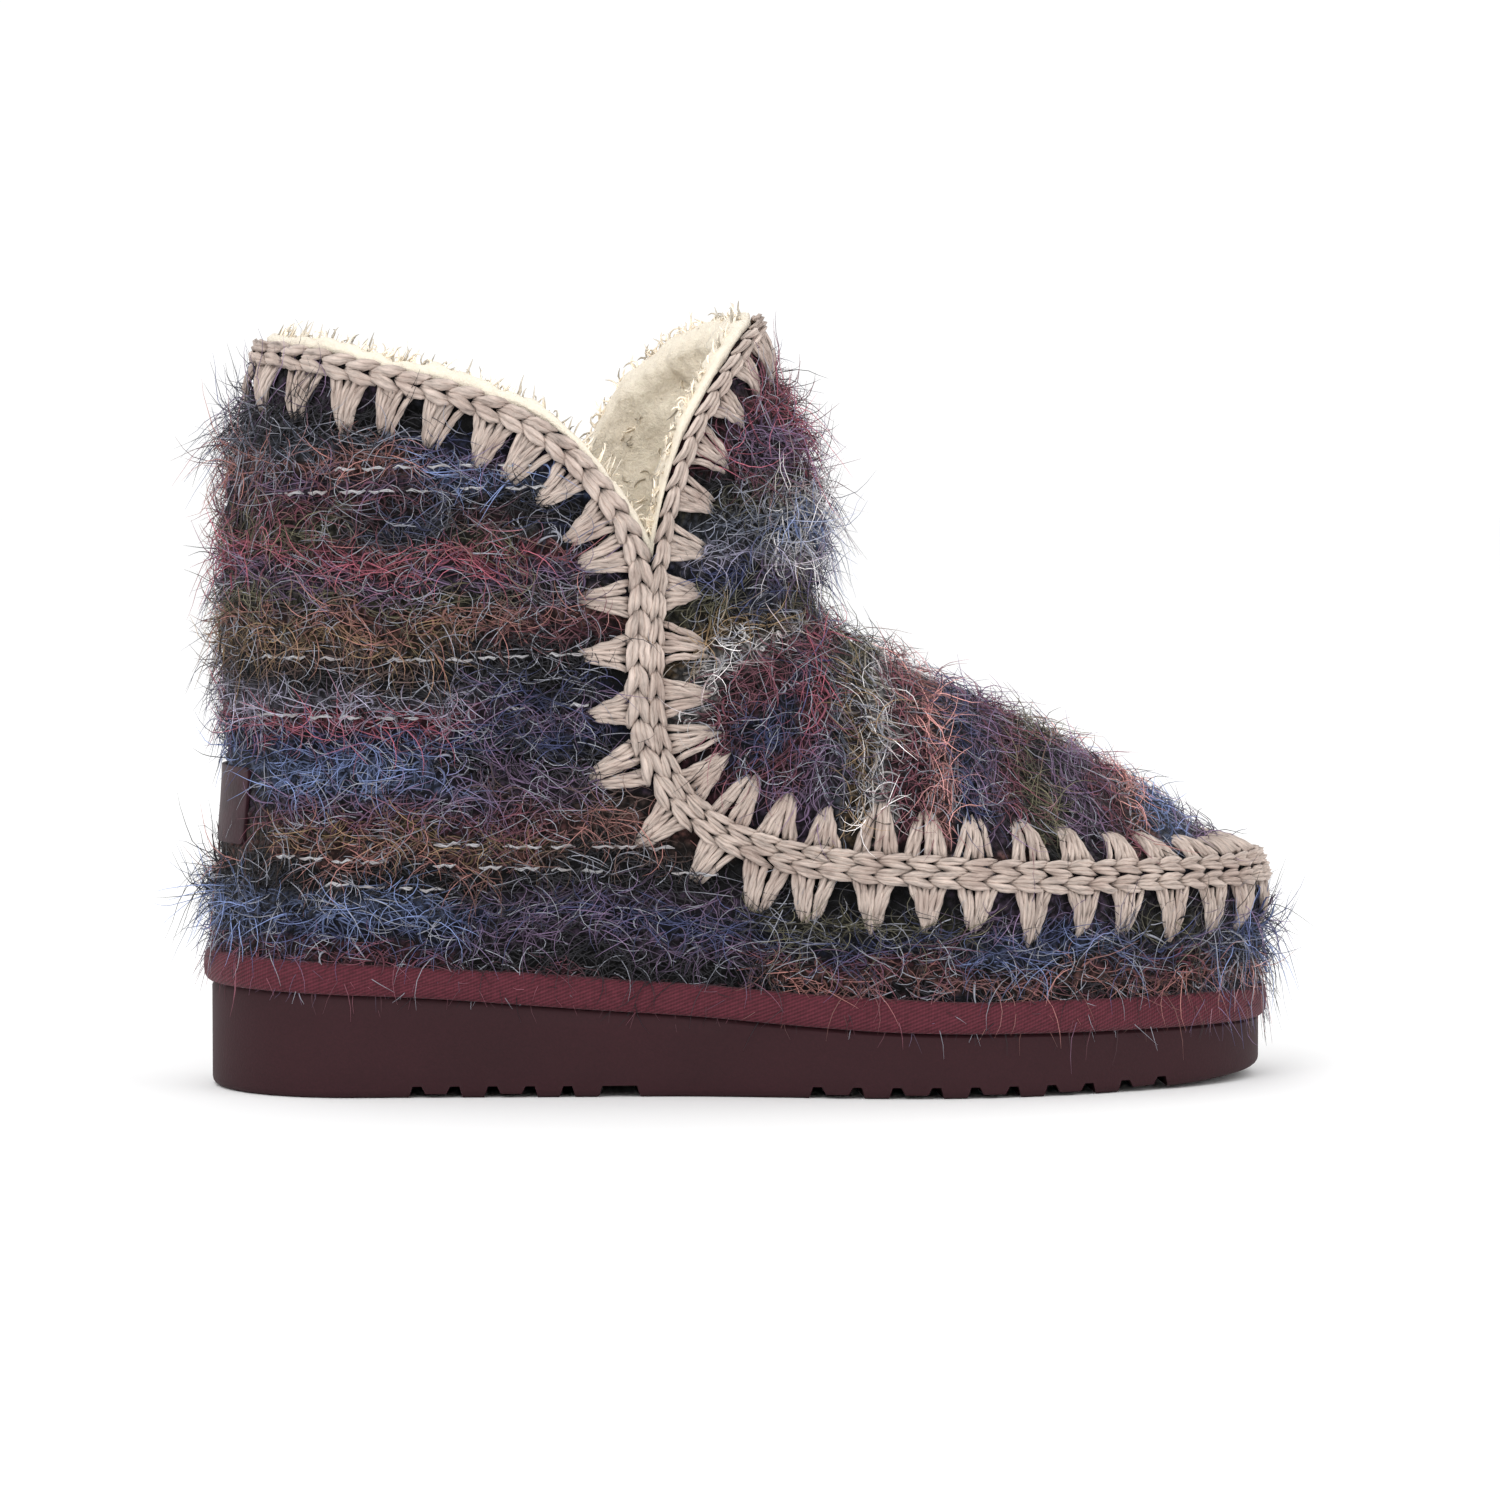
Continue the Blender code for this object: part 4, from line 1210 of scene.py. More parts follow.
def knit_finish():
    """The knit under the hairs: its yarn's colour in painted shade, darkest in the gaps between the
    bouclé loops of its bump.
    """
    material, w, shader = new_material("knit_wool")
    tint = w.add("ShaderNodeAttribute", attribute_name="tint").outputs["Color"]
    where = object_place(w)
    loops = w.add("ShaderNodeTexVoronoi", {"Vector": where, "Scale": 520.0}).outputs["Distance"]
    fuzz = noise(w, where, 900.0, 4.0, 0.7)
    # Painted shade: the yarn's colour kept to 0.62 at most under the hairs and darkened to 0.06 in the
    # gaps between the loops.
    shade = w.ramp(
        w.plus(w.times(loops, 0.7), w.times(fuzz, 0.6)),
        (0.22, (0.62, 0.62, 0.62)),
        (0.72, (0.06, 0.06, 0.06)),
    )
    colour = w.mix(1.0, tint, shade, "MULTIPLY")
    set_shader(w, shader, colour, 0.95, Specular_IOR_Level=0.15, Sheen_Weight=0.1)
    relief = w.minus(w.times(fuzz, 0.7), loops)
    set_bump(w, shader, relief, 0.9, 0.0012)
    return material


def clouded(w, colour, fine, fine_share, cloud_scale, *stops):
    """A colour in shades that follow a fine noise and a soft one: places and shares of it."""
    clouds = noise(w, object_place(w), cloud_scale, 3.0)
    mixed = w.plus(w.times(fine, fine_share), w.times(clouds, 1 - fine_share))
    return w.ramp(mixed, *((spot, shaded(colour, share)) for spot, share in stops))


def fleece_finish():
    """Cream sheepskin pile: soft lumps and fine curls, with painted shade in the curls' hollows and
    painted highlight on their tops, mixed with soft random clouds.
    """
    material, w, shader = new_material("sheep_fleece")
    curls = noise(w, object_place(w), 420.0, 5.0, 0.7)
    # Painted shade and highlight: greyer where the curls' bump is low, lighter where it is high, mixed
    # with random clouds.
    base = clouded(w, colours().fleece, curls, 0.6, 60.0, (0.24, 0.86), (0.44, 1.0), (0.72, 1.18))
    set_shader(w, shader, base, 0.95, Sheen_Weight=0.35, Sheen_Roughness=0.4, Specular_IOR_Level=0.15)
    set_bump(w, shader, curls, 0.8, 0.0015)
    return material


def tape_finish():
    """Twill tape: fine slanting ribs, crossed by threads."""
    material, w, shader = new_material("twill_tape")
    colour = tuple(colours().tape)
    along = w.add("ShaderNodeUVMap", uv_map="UVMap").outputs["UV"]
    split = w.split(along)
    slant = w.plus(split["X"], w.times(split["Y"], 2.2))
    ribs = w.math("SINE", w.times(slant, 2 * math.pi / TWILL_PITCH))
    threads = w.math("SINE", w.times(split["X"], 2 * math.pi / THREAD_PITCH))
    weave = w.plus(ribs, w.times(threads, 0.35))
    fuzz = noise(w, object_place(w), 900.0, 3.0)
    share = w.plus(w.times(weave, 0.22), w.times(fuzz, 0.9))
    base = w.ramp(share, (0.15, shaded(colour, 0.62)), (0.50, colour), (0.85, shaded(colour, 1.45)))
    set_shader(w, shader, base, 0.75, Sheen_Weight=0.08, Sheen_Roughness=0.4, Specular_IOR_Level=0.25)
    set_bump(w, shader, weave, 0.45, 0.0003)
    return material


def foam_finish():
    """Matte foam: a fine moulded speckle and faint scuffs."""
    material, w, shader = new_material("sole_foam")
    speckle = noise(w, object_place(w), 1500.0, 2.0, 0.6)
    base = clouded(w, colours().sole, speckle, 0.55, 45.0, (0.30, 0.82), (0.52, 1.0), (0.75, 1.25))
    set_shader(w, shader, base, 0.68, Specular_IOR_Level=0.25)
    set_bump(w, shader, speckle, 0.35, 0.00025)
    return material


def leather_finish():
    """Dark smooth leather with a pebbled grain."""
    material, w, shader = new_material("patch_leather")
    colour = tuple(colours().leather)
    where = object_place(w)
    grain = w.add("ShaderNodeTexVoronoi", {"Vector": where, "Scale": 900.0}).outputs["Distance"]
    clouds = noise(w, where, 140.0, 4.0)
    base = w.ramp(clouds, (0.35, shaded(colour, 0.75)), (0.65, shaded(colour, 1.5)))
    set_shader(w, shader, base, 0.55, Specular_IOR_Level=0.3)
    set_bump(w, shader, grain, 0.35, 0.0002)
    return material


# Shapes of the pieces

def knit_grid():
    """Turns and heights of the knit's fine rows, at even steps up each column."""
    turn = columns()
    low = foot_ring(turn)[:, 2] + CLEARANCE
    high = rim_height(turn)
    fine = low + (high - low) * np.linspace(0, 1, COLUMN_SAMPLES)[:, None]
    turns = np.broadcast_to(turn, fine.shape)
    steps = np.linalg.norm(np.diff(surface(turns, fine), axis=0), axis=-1)
    length = np.concatenate([np.zeros((1, len(turn))), np.cumsum(steps, axis=0)])
    rows = np.linspace(0, 1, KNIT_ROWS)
    z = np.empty((KNIT_ROWS, len(turn)))
    for j in range(len(turn)):
        z[:, j] = np.interp(rows * length[-1, j], length[:, j], fine[:, j])
    return np.broadcast_to(turn, z.shape), z


def edge_distance(points):
    """How far each point lies from the nearest panel edge."""
    edges = []
    for rim_table, lap, _, _ in PANELS.values():
        turn, z = panel_edge(rim_table, lap, 0.003)
        edges.append(surface(turn, z))
    edges = np.concatenate(edges)
    tree = KDTree(len(edges))
    for i, point in enumerate(edges):
        tree.insert(point, i)
    tree.balance()
    flat = points.reshape(-1, 3)
    found = np.array([tree.find(point)[2] for point in flat])
    return found.reshape(points.shape[:-1])


def course_wave(points, across):
    """A wave across the courses that crosses zero between them."""
    return np.sin(math.pi * (across + drift(points, 0.02, 8) * 0.8) / COURSE_PITCH)


def course_relief(points):
    """How far the knit stands out: rounded courses, uneven stitches and slubs."""
    across, _, _ = course_place(points)
    ridge = np.abs(course_wave(points, across)) ** 0.7
    knots = drift(points, 0.0026, 9) * 0.35 + drift(points, 0.007, 10) * 0.3
    return (ridge - 0.55 + knots) * sizes().course_relief


def make_knit():
    """The knit shell with its courses in relief, closed over the rims and underneath."""
    turns, z = knit_grid()
    points = surface(turns, z)
    out = outward(turns, z)
    relief = course_relief(points)
    fade = np.ones(KNIT_ROWS)
    fade[0] = fade[-1] = 0.2
    outer = points + out * (relief * fade[:, None])[..., None]
    rows = np.linspace(KNIT_ROWS - 1, 0, WALL_ROWS).round().astype(int)
    inner = points[rows] - out[rows] * (UPPER_WALL * 0.7)
    mesh = loft("knit_upper", np.concatenate([outer, inner]), knit_finish(), closed_loft=True)
    tints = knit_colours(np.concatenate([points, points[rows]]))
    give(mesh, "tint", "FLOAT_COLOR", tints.reshape(-1, 3))
    dress(show("knit_upper", mesh), "knit", "upper")


def hair_fields():
    """The knit's outer face, and the cover, lie, reach and fall of hairs on it."""
    turns, z = knit_grid()
    points = surface(turns, z)
    out = outward(turns, z)
    across, lie, on_apron = course_place(points)
    way = unit(np.cross(out, lie))
    swirl = (drift(points, 0.010, 15) * 0.5)[..., None]
    way = way * np.cos(swirl) + np.cross(out, way) * np.sin(swirl)
    distance = edge_distance(points)
    cover = ease(distance, HAIR_THIN, HAIR_FULL) * 0.85 + ease(distance, HAIR_FREE, HAIR_THIN) * 0.15
    cover = cover * (0.45 + 0.8 * course_wave(points, across) ** 2)
    x, height = points[..., 0] / FOOT_LENGTH, z * 1000
    reach = np.ones(z.shape)
    for tuft_x, tuft_z, size, longer in HAIR_TUFTS:
        off = np.hypot((x - tuft_x) * FOOT_LENGTH, (height - tuft_z) / 1000)
        reach += (longer - 1) * (1 - ease(off, size * 0.4, size))
    low = 1 - ease(z - feather(points[..., 0]), 0.006, 0.022)
    fall = 0.10 + 0.45 * low
    reach = reach * (1 - 0.25 * low)
    beside_patch = np.abs(z - height_of(PATCH_LEVEL)) < PATCH_HEIGHT / 2 + PATCH_MARGIN
    on_patch = beside_patch & (np.abs(np.mod(turns + 1, 2) - 1) < 0.10) & (points[..., 0] < 0.02)
    cover = np.where(on_patch, 0.0, cover)
    cover = cover * (1 - (z - feather(points[..., 0]) < TAPE_HEIGHT * 0.8))
    return {
        "points": points, "on_apron": on_apron, "tint": knit_colours(points, 2.2), "way": way,
        "cover": cover, "reach": reach, "fall": fall,
    }


def hair_ground(name, points, **fields):
    """A source mesh for hairs: rows of points, and what the hair tree reads on them."""
    mesh = loft(name, points)
    for field in ("tint", "way", "cover", "reach", "fall"):
        kind = {"tint": "FLOAT_COLOR", "way": "FLOAT_VECTOR"}.get(field, "FLOAT")
        shape = points.shape[:2] if kind == "FLOAT" else points.shape
        flat = (-1,) if kind == "FLOAT" else (-1, 3)
        give(mesh, field, kind, np.broadcast_to(fields[field], shape).reshape(flat))
    return mesh


def knit_ground(name, fields, part):
    """A source mesh for the hairs of one part of the knit."""
    points = fields["points"]
    cover = fields["cover"] * part(points, fields["on_apron"])
    return hair_ground(name, **(fields | {"cover": cover}))


def outer_quarter(points, on_apron):
    """The quarter's outer side."""
    return ~on_apron & (points[..., 1] < centre_line(points[..., 0]))


def inner_quarter(points, on_apron):
    """The quarter's inner side."""
    return ~on_apron & (points[..., 1] >= centre_line(points[..., 0]))


def whole_apron(points, on_apron):
    """The apron, both sides."""
    return on_apron


def more_where_pale(points, on_apron):
    """Loops grow thickest on the pale courses."""
    return 0.55 + 5.0 * knit_colours(points).mean(axis=-1)


# Parts of the knit that have hairs of their own
HAIRY_PARTS = {"outer_quarter": outer_quarter, "inner_quarter": inner_quarter, "apron": whole_apron}

# Kinds of hair: share of all hairs, shares of the usual length and radius, whether flat, then
# what the tree takes. Light and Dark say how few hairs are grey or black: -1 is none.
# Bright lifts a kind's hairs above their yarn's colour; the eyelash hairs' 2.3 is a painted highlight,
# a lit copy of the yarn that the knit under them shows in painted shade.
HAIR_KINDS = {
    "eyelash": (0.37, 1.0, 1.0, False, {"Lift": 0.62, "Spread": 0.50, "Curl": 2.4, "Bright": 2.3,
                                        "Light": -0.66, "Dark": -0.74}),
    "underhair": (0.63, 0.85, 0.70, True, {"Lift": 0.34, "Spread": 0.75, "Curl": 2.8, "Bright": 1.0,
                                           "Light": -0.80, "Dark": -0.74}),
}
LOOPS = {
    "Length": 0.0052, "Radius": 0.00042, "Lift": 0.60, "Spread": 1.2, "Curl": 4.6,
    "Points": HAIR_POINTS, "Light": -0.9, "Dark": -0.9, "Bright": 1.2, "Flat": False,
}
LOOPS_PER_HAIR = 0.045


def make_hairs():
    """Eyelash hairs, round ones over flat fine ones, on each panel, and short thick loops."""
    given = sizes()
    eyelash = hair_finish("eyelash_hair", 0.5, 0.35)
    boucle = hair_finish("boucle_loops", 0.85, 0.2)
    tree = hair_tree()
    fields = hair_fields()
    amount = given.hairs_per_cm2 * 1e4
    for number, (part_name, part) in enumerate(HAIRY_PARTS.items()):
        for kind, (share, long, thick, flat, form) in HAIR_KINDS.items():
            values = form | {
                "Hairs": amount * share, "Length": given.hair_length * long,
                "Radius": given.hair_radius * thick, "Points": HAIR_POINTS,
                "Seed": given.seed + number + 10 * flat, "Flat": flat, "Finish": eyelash,
            }
            name = f"{kind}_{part_name}"
            ground_mesh = knit_ground(name + "_ground", fields, part)
            dress(grown(name, ground_mesh, tree, values, ("tint",)), "knit")
    values = LOOPS | {"Hairs": amount * LOOPS_PER_HAIR, "Seed": given.seed + 9, "Finish": boucle}
    ground_mesh = knit_ground("loops_ground", fields, more_where_pale)
    dress(grown("boucle_loops", ground_mesh, tree, values, ("tint",)), "knit")


def chain_stitch(rng, pitch, width, thickness):
    """One crocheted chain stitch: two leaf-shaped legs in a V that tuck under the next stitch."""
    strands = Strands()
    q = np.linspace(0, 1, 7)
    for side in (-1, 1):
        x = pitch * (-0.42 + 1.34 * q)
        y = side * width * (0.035 + 0.33 * q ** 0.9)
        z = thickness * (0.22 + 0.44 * np.sin(math.pi * np.clip(q * 1.02, 0, 1)) ** 0.8 - 0.10 * q)
        radii = width * 0.235 * np.sin(math.pi * (0.07 + 0.86 * q)) ** 0.8
        wobble = rng.normal(scale=0.00012, size=(len(q), 3))
        path = np.stack([x, y, z], axis=1) + wobble
        strands.yarn(path, radii, 3, 42 * side, 4, start=rng.uniform(0, 2))
    return strands


def make_chains():
    """Both crocheted chains, stitch by stitch along the panels' edges."""
    material = wool_yarn("edging_yarn", tuple(colours().edging))
    rng = np.random.default_rng(sizes().seed)
    pitch = sizes().stitch_length
    nominal = (FOOT_CHAIN_WIDTH + SHAFT_CHAIN_WIDTH) / 2
    builders = [chain_stitch(rng, pitch, nominal, CHAIN_THICKNESS) for _ in range(5)]
    kinds = stitch_set("chain_stitch", builders)
    for name, (rim_table, lap, panel_side, widths_at) in PANELS.items():
        turn, z = panel_edge(rim_table, lap, pitch)
        widths = widths_at(z)
        inward = into_panel(turn, z, panel_side)
        turn, z = slide(turn, z, inward * (widths * CHAIN_INSET)[:, None])
        centres = surface(turn, z)
        out = outward(turn, z)
        ahead = along_loop(centres)
        stretch = np.linalg.norm(np.roll(centres, -1, axis=0) - centres, axis=1) / pitch
        size = np.stack([stretch, widths / nominal, np.ones(len(z))], axis=1)
        kind = rng.integers(0, len(builders), len(z))
        points = place(centres + out * (CHAIN_GAP + CHAIN_THICKNESS * CHAIN_LIFT))
        piece = stitched(name + "_chain_stitches", points, out, ahead, size, kind, kinds, material)
        dress(piece, "crochet_yarn", name + "_chain")
    drop_set(kinds)


def fan_strands(rng, length, width):
    """One crocheted fan: strands that run from the chain together into one hole."""
    strands = Strands()
    long = length * rng.uniform(0.88, 1.12)
    lean = rng.uniform(-0.0010, 0.0010)
    q = np.linspace(0, 1, 6)
    for share in np.linspace(-1, 1, FAN_STRANDS):
        wide = width / 2 * share * (1 - 0.66 * q ** 0.8)
        x = wide + lean * q + rng.normal(scale=0.00030) + rng.normal(scale=0.00012, size=len(q))
        y = (long + FAN_TUCK) * q * (1 - 0.07 * abs(share)) - FAN_TUCK + rng.normal(scale=0.0004)
        arch = 0.0012 * np.sin(math.pi * np.clip(q * 0.92 + 0.05, 0, 1)) * (1 - 0.25 * share ** 2)
        z = 0.0004 + arch - 0.0018 * q ** 4 + rng.normal(scale=0.00015)
        radii = FAN_YARN * rng.uniform(0.85, 1.12) * (0.92 + 0.25 * np.sin(math.pi * q))
        radii = radii * (1 - 0.42 * q)
        path = np.stack([x, y, z], axis=1)
        strands.yarn(path, radii, 3, rng.uniform(45, 75), 4, start=rng.uniform(0, 6))
    return strands


def make_fans():
    """Crocheted fans on the panel side of both chains."""
    material = wool_yarn("fan_yarn", tuple(colours().edging))
    given = sizes()
    rng = np.random.default_rng(given.seed + 1)
    builders = [fan_strands(rng, given.fan_length, FAN_WIDTH) for _ in range(6)]
    kinds = stitch_set("crochet_fan", builders)
    for name, (rim_table, lap, panel_side, widths_at) in PANELS.items():
        turn, z = panel_edge(rim_table, lap, given.fan_pitch)
        inward = into_panel(turn, z, panel_side)
        offset = widths_at(z) + CHAIN_GAP / 2 - FAN_LAP
        root_turn, root_z = slide(turn, z, inward * offset[:, None])
        roots = surface(root_turn, root_z)
        mid_turn, mid_z = slide(root_turn, root_z, inward * given.fan_length * 0.5)
        out = outward(mid_turn, mid_z)
        ahead = unit(np.cross(inward, out))
        size = rng.uniform(0.92, 1.08, (len(z), 3))
        kind = rng.integers(0, len(builders), len(z))
        points = place(roots + outward(root_turn, root_z) * FAN_LIFT)
        piece = stitched(name + "_fans", points, out, ahead, size, kind, kinds, material)
        dress(piece, "crochet_yarn")
    drop_set(kinds)


def dash_strands(rng):
    """One dash of white thread, thickest in its middle."""
    strands = Strands()
    q = np.linspace(0, 1, 5)
    arch = np.sin(math.pi * q)
    long = rng.uniform(0.0034, 0.0060)
    path = np.stack([(q - 0.5) * long, rng.normal(scale=0.00025, size=5), 0.0003 * arch], axis=1)
    strands.yarn(path, 0.00038 * (0.7 + 0.6 * arch), 2, 160, 3, rng.uniform(0, 6))
    return strands


def make_threads():
    """White threads laid along the quarter's courses in long dashes."""
    rng = np.random.default_rng(sizes().seed + 2)
    builders = [dash_strands(rng) for _ in range(6)]
    kinds = stitch_set("thread_dash", builders)
    centres, outs, aheads = [], [], []
    for side in (-1, 1):
        for height, start, end in WHITE_THREADS:
            x = np.arange(start * FOOT_LENGTH, end * FOOT_LENGTH, DASH_PITCH)
            x = x + rng.normal(scale=0.0010, size=len(x))
            x = x[rng.uniform(size=len(x)) < DASH_SHARE]
            z = height / 1000 + course_droop(x, height / 1000)
            z = z + drift(np.stack([x, x * 0, z], axis=1), 0.05, 12) * 0.0012
            turn = turn_at(x, z, side)
            centres.append(surface(turn, z) + outward(turn, z) * DASH_LIFT)
            outs.append(outward(turn, z))
            aheads.append(unit(slopes_of(turn, z)[0]))
    centres, outs, aheads = np.concatenate(centres), np.concatenate(outs), np.concatenate(aheads)
    size = rng.uniform(0.85, 1.15, (len(centres), 3))
    kind = rng.integers(0, len(builders), len(centres))
    material = wool_yarn("white_thread", tuple(colours().thread))
    piece = stitched("white_threads", place(centres), outs, aheads, size, kind, kinds, material)
    dress(piece, "knit")
    drop_set(kinds)


# The fleece over the rims, from outside in: depth inside the rim in metres, and share of its
# height there
FLEECE_CREST = ((-0.0010, -0.2), (-0.0008, 0.5), (0.0006, 1.0), (0.0026, 1.15), (0.0052, 0.95))
CREST_HEIGHT = 0.0026
LINING_LAP = 0.0015


def make_fleece():
    """The fleece lining: a closed layer inside the knit that swells over the rims."""
    turn = columns()
    low = foot_ring(turn)[:, 2] + INSOLE_THICKNESS
    high = rim_height(turn)
    pile = sizes().pile
    rings = []
    for share in np.linspace(0, 1, WALL_ROWS):
        z = low + (high - LINING_LAP - low) * share
        rings.append(surface(turn, z) - outward(turn, z) * UPPER_WALL * 0.8)
    rim, way = surface(turn, high), outward(turn, high)
    for depth, rise in FLEECE_CREST:
        fluff = 0.0005 * drift(rim + rise * 0.004, 0.0032, 21) + 0.0004 * drift(rim, 0.009, 24)
        rings.append(rim - way * depth + np.array([0, 0, 1]) * (CREST_HEIGHT * rise + fluff)[:, None])
    for share in np.linspace(0.06, 1, LINING_ROWS) ** 1.6:
        z = low + (high - low) * (1 - share)
        points = surface(turn, z)
        lumps = 0.0010 * drift(points, 0.009, 22) + 0.0009 * drift(points, 0.0035, 23)
        rings.append(points - outward(turn, z) * (UPPER_WALL + pile + lumps)[:, None])
    mesh = loft("fleece_lining", rings, fleece_finish(), closed_loft=True)
    dress(show("fleece_lining", mesh), "fleece")


# Curls of fleece: how far above and below the rims they grow, which way they lie, and what
# the hair tree takes
TUFT_TOP = 0.0022
TUFT_DEPTH = 0.075
TUFT_WAY = (0.3, 0.1, 0.95)
TUFTS = {
    "Hairs": 118000, "Length": 0.0040, "Radius": 0.00038, "Lift": 0.60, "Spread": 3.1,
    "Curl": 4.2, "Points": 5, "Light": -1.1, "Dark": -1.1, "Bright": 1.25, "Flat": False,
}


def make_tufts():
    """Curls of fleece on the lining's face near the rims, and over them."""
    turn = columns()[::2]
    high = rim_height(turn)
    pile = sizes().pile
    rows = []
    for share in np.linspace(0, 1, TUFT_ROWS):
        z = high + TUFT_TOP - TUFT_DEPTH * (1 - share)
        z = np.maximum(z, feather(surface(turn, z)[:, 0]) + 0.012)
        depth = UPPER_WALL * (1 - 0.8 * share**14) + pile * (1 - 0.98 * share**10)
        rows.append(surface(turn, z) - outward(turn, z) * depth)
    rows = np.array(rows)[::-1]
    nearness = np.linspace(1, 0, TUFT_ROWS)
    near = 0.4 + 1.8 * ease(nearness, 0.7, 0.95) + 5.0 * ease(nearness, 0.94, 0.99)
    mesh = hair_ground(
        "tuft_ground", rows, tint=tuple(colours().fleece), way=TUFT_WAY, cover=near[:, None],
        reach=1.0, fall=0.0,
    )
    curls = hair_finish("fleece_curls", 0.9, 0.15)
    values = TUFTS | {"Seed": sizes().seed + 20, "Finish": curls}
    dress(grown("fleece_tufts", mesh, hair_tree(), values, ("tint",)), "fleece")


def even_columns(count):
    """Turns that match on both sides, so that strips can cross from one to the other."""
    return np.arange(2 * count) / count


def crossed_caps(rings, count):
    """Strips across the first and last ring, between their outer and inner sides."""
    faces = []
    for start, upward in ((0, False), ((rings - 1) * count, True)):
        for j in range(count // 2):
            around = [j, j + 1, (count - j - 1) % count, (count - j) % count]
            corners = [start + k for k in dict.fromkeys(around)]
            faces.append(corners if upward else corners[::-1])
    return faces


def capped_mesh(name, rings):
    """A closed mesh of level rings, with strips across its two ends."""
    rings = np.array(rings)
    faces = grid_faces(*rings.shape[:2]).tolist() + crossed_caps(*rings.shape[:2])
    mesh = bpy.data.meshes.new(name)
    mesh.from_pydata(place(rings).reshape(-1, 3).tolist(), [], faces)
    return mesh


# The footbed's rounded side: share of the way to its middle, and share of its thickness
FOOTBED_EDGE = ((0.02, 0.0), (0.0, 0.25), (0.0, 0.6), (0.03, 0.9))


def make_footbed():
    """The fleece footbed: a crowned pad with soft lumps."""
    turn = even_columns(FOOTBED_COLUMNS)
    foot = foot_ring(turn)
    inside = widened(foot, -(UPPER_WALL + CLEARANCE + INSOLE_FIT))
    base = np.column_stack([inside[:, :2], feather(inside[:, 0]) + CLEARANCE])
    middle = np.column_stack([inside[:, 0], centre_line(inside[:, 0]), base[:, 2]])
    rings = []
    for inset, rise in FOOTBED_EDGE:
        rings.append(base + (middle - base) * inset + [0, 0, INSOLE_THICKNESS * rise])
    for inset in np.linspace(0.08, 0.96, 16):
        ring = base + (middle - base) * inset
        lumps = drift(ring, 0.008, 31) * 0.0004 + drift(ring, 0.003, 32) * 0.0003
        rings.append(ring + np.stack([lumps * 0, lumps * 0, INSOLE_THICKNESS + lumps], axis=1))
    mesh = capped_mesh("fleece_footbed", rings)
    mesh.shade_smooth()
    mesh.materials.append(bpy.data.materials["sheep_fleece"])
    footbed = show("fleece_footbed", mesh)
    dress(footbed, "fleece", "insole")


# The tape's cross section: shares of its height, then of its thickness
TAPE_SECTION = (
    (-0.50, 0.02), (0.50, 0.02), (0.505, 0.30), (0.49, 0.55), (0.45, 0.74), (0.38, 0.87),
    (0.26, 0.95), (0.10, 1.0), (-0.08, 1.0), (-0.24, 0.97), (-0.36, 0.88), (-0.44, 0.74),
    (-0.49, 0.55), (-0.505, 0.30),
)


def make_tape():
    """The twill tape rolled round the foot of the upper, with a map along it for its weave."""
    turn = columns()
    foot_z = foot_ring(turn)[:, 2] + CLEARANCE
    base = surface(turn, foot_z)
    ripple = drift(base, 0.02, 41) * 0.00025
    rings = []
    for share_up, share_out in TAPE_SECTION:
        z = foot_z + TAPE_HEIGHT * (share_up + 0.5) + ripple * (share_up > 0)
        reach = CLEARANCE + TAPE_THICKNESS * share_out * (1 + 0.06 * drift(base, 0.012, 42))
        rings.append(surface(turn, z) + outward(turn, z) * reach[:, None])
    rings = np.array(rings)
    count, across = len(turn), len(rings)
    faces = grid_faces(across, count, closed_loft=True)[:, ::-1]
    mesh = make_mesh("rolled_tape", place(rings), faces, tape_finish())
    length = run_length(np.vstack([base, base[:1]]))
    height = run_length(np.array(TAPE_SECTION + TAPE_SECTION[:1]) * [TAPE_HEIGHT, TAPE_THICKNESS])
    i = np.repeat(np.arange(across), count)
    j = np.tile(np.arange(count), across)
    corners = [(i + 1, j), (i + 1, j + 1), (i, j + 1), (i, j)]
    maps = np.stack([np.stack([length[b], height[a]], axis=-1) for a, b in corners], axis=1)
    layer = mesh.uv_layers.new(name="UVMap")
    layer.data.foreach_set("uv", maps.astype(np.float32).ravel())
    dress(show("rolled_tape", mesh), "twill_tape", "rand_tape")


def groove_cutter(name, start, count, pitch, width):
    """Grooves across the sole. Between them every second lug is cut a little shorter."""
    below = -BALL_WIDTH
    outline = [(start - width / 2, below)]
    for i in range(count):
        x = start + i * pitch
        crest = ground(x) + LUG_DEPTH
        before, after = i % 2 == 1, i % 2 == 0 and i < count - 1
        outline.append((x - width / 2, ground(x) + LUG_STEP if before else -CLEARANCE))
        outline.append((x - width / 2 + GROOVE_SLANT, crest))
        outline.append((x + width / 2 - GROOVE_SLANT, crest))
        outline.append((x + width / 2, ground(x) + LUG_STEP if after else -CLEARANCE))
    outline.append((start + (count - 1) * pitch + width / 2, below))
    corners = len(outline)
    points = [(x, y, z) for y in (-BALL_WIDTH, BALL_WIDTH) for x, z in outline]
    faces = [list(range(corners)), list(range(2 * corners - 1, corners - 1, -1))]
    for k in range(corners):
        after = (k + 1) % corners
        faces.append([after, k, corners + k, corners + after])
    mesh = bpy.data.meshes.new(name)
    mesh.from_pydata(place(points).tolist(), [], faces)
    form = bmesh.new()
    form.from_mesh(mesh)
    bmesh.ops.recalc_face_normals(form, faces=form.faces)
    form.to_mesh(mesh)
    form.free()
    return show(name, mesh)


# The sole's lower edge: shares of the bevel, inwards and up
SOLE_BEVEL_CURVE = ((1.0, 0.0), (0.62, 0.08), (0.30, 0.30), (0.08, 0.62), (0.0, 1.0))


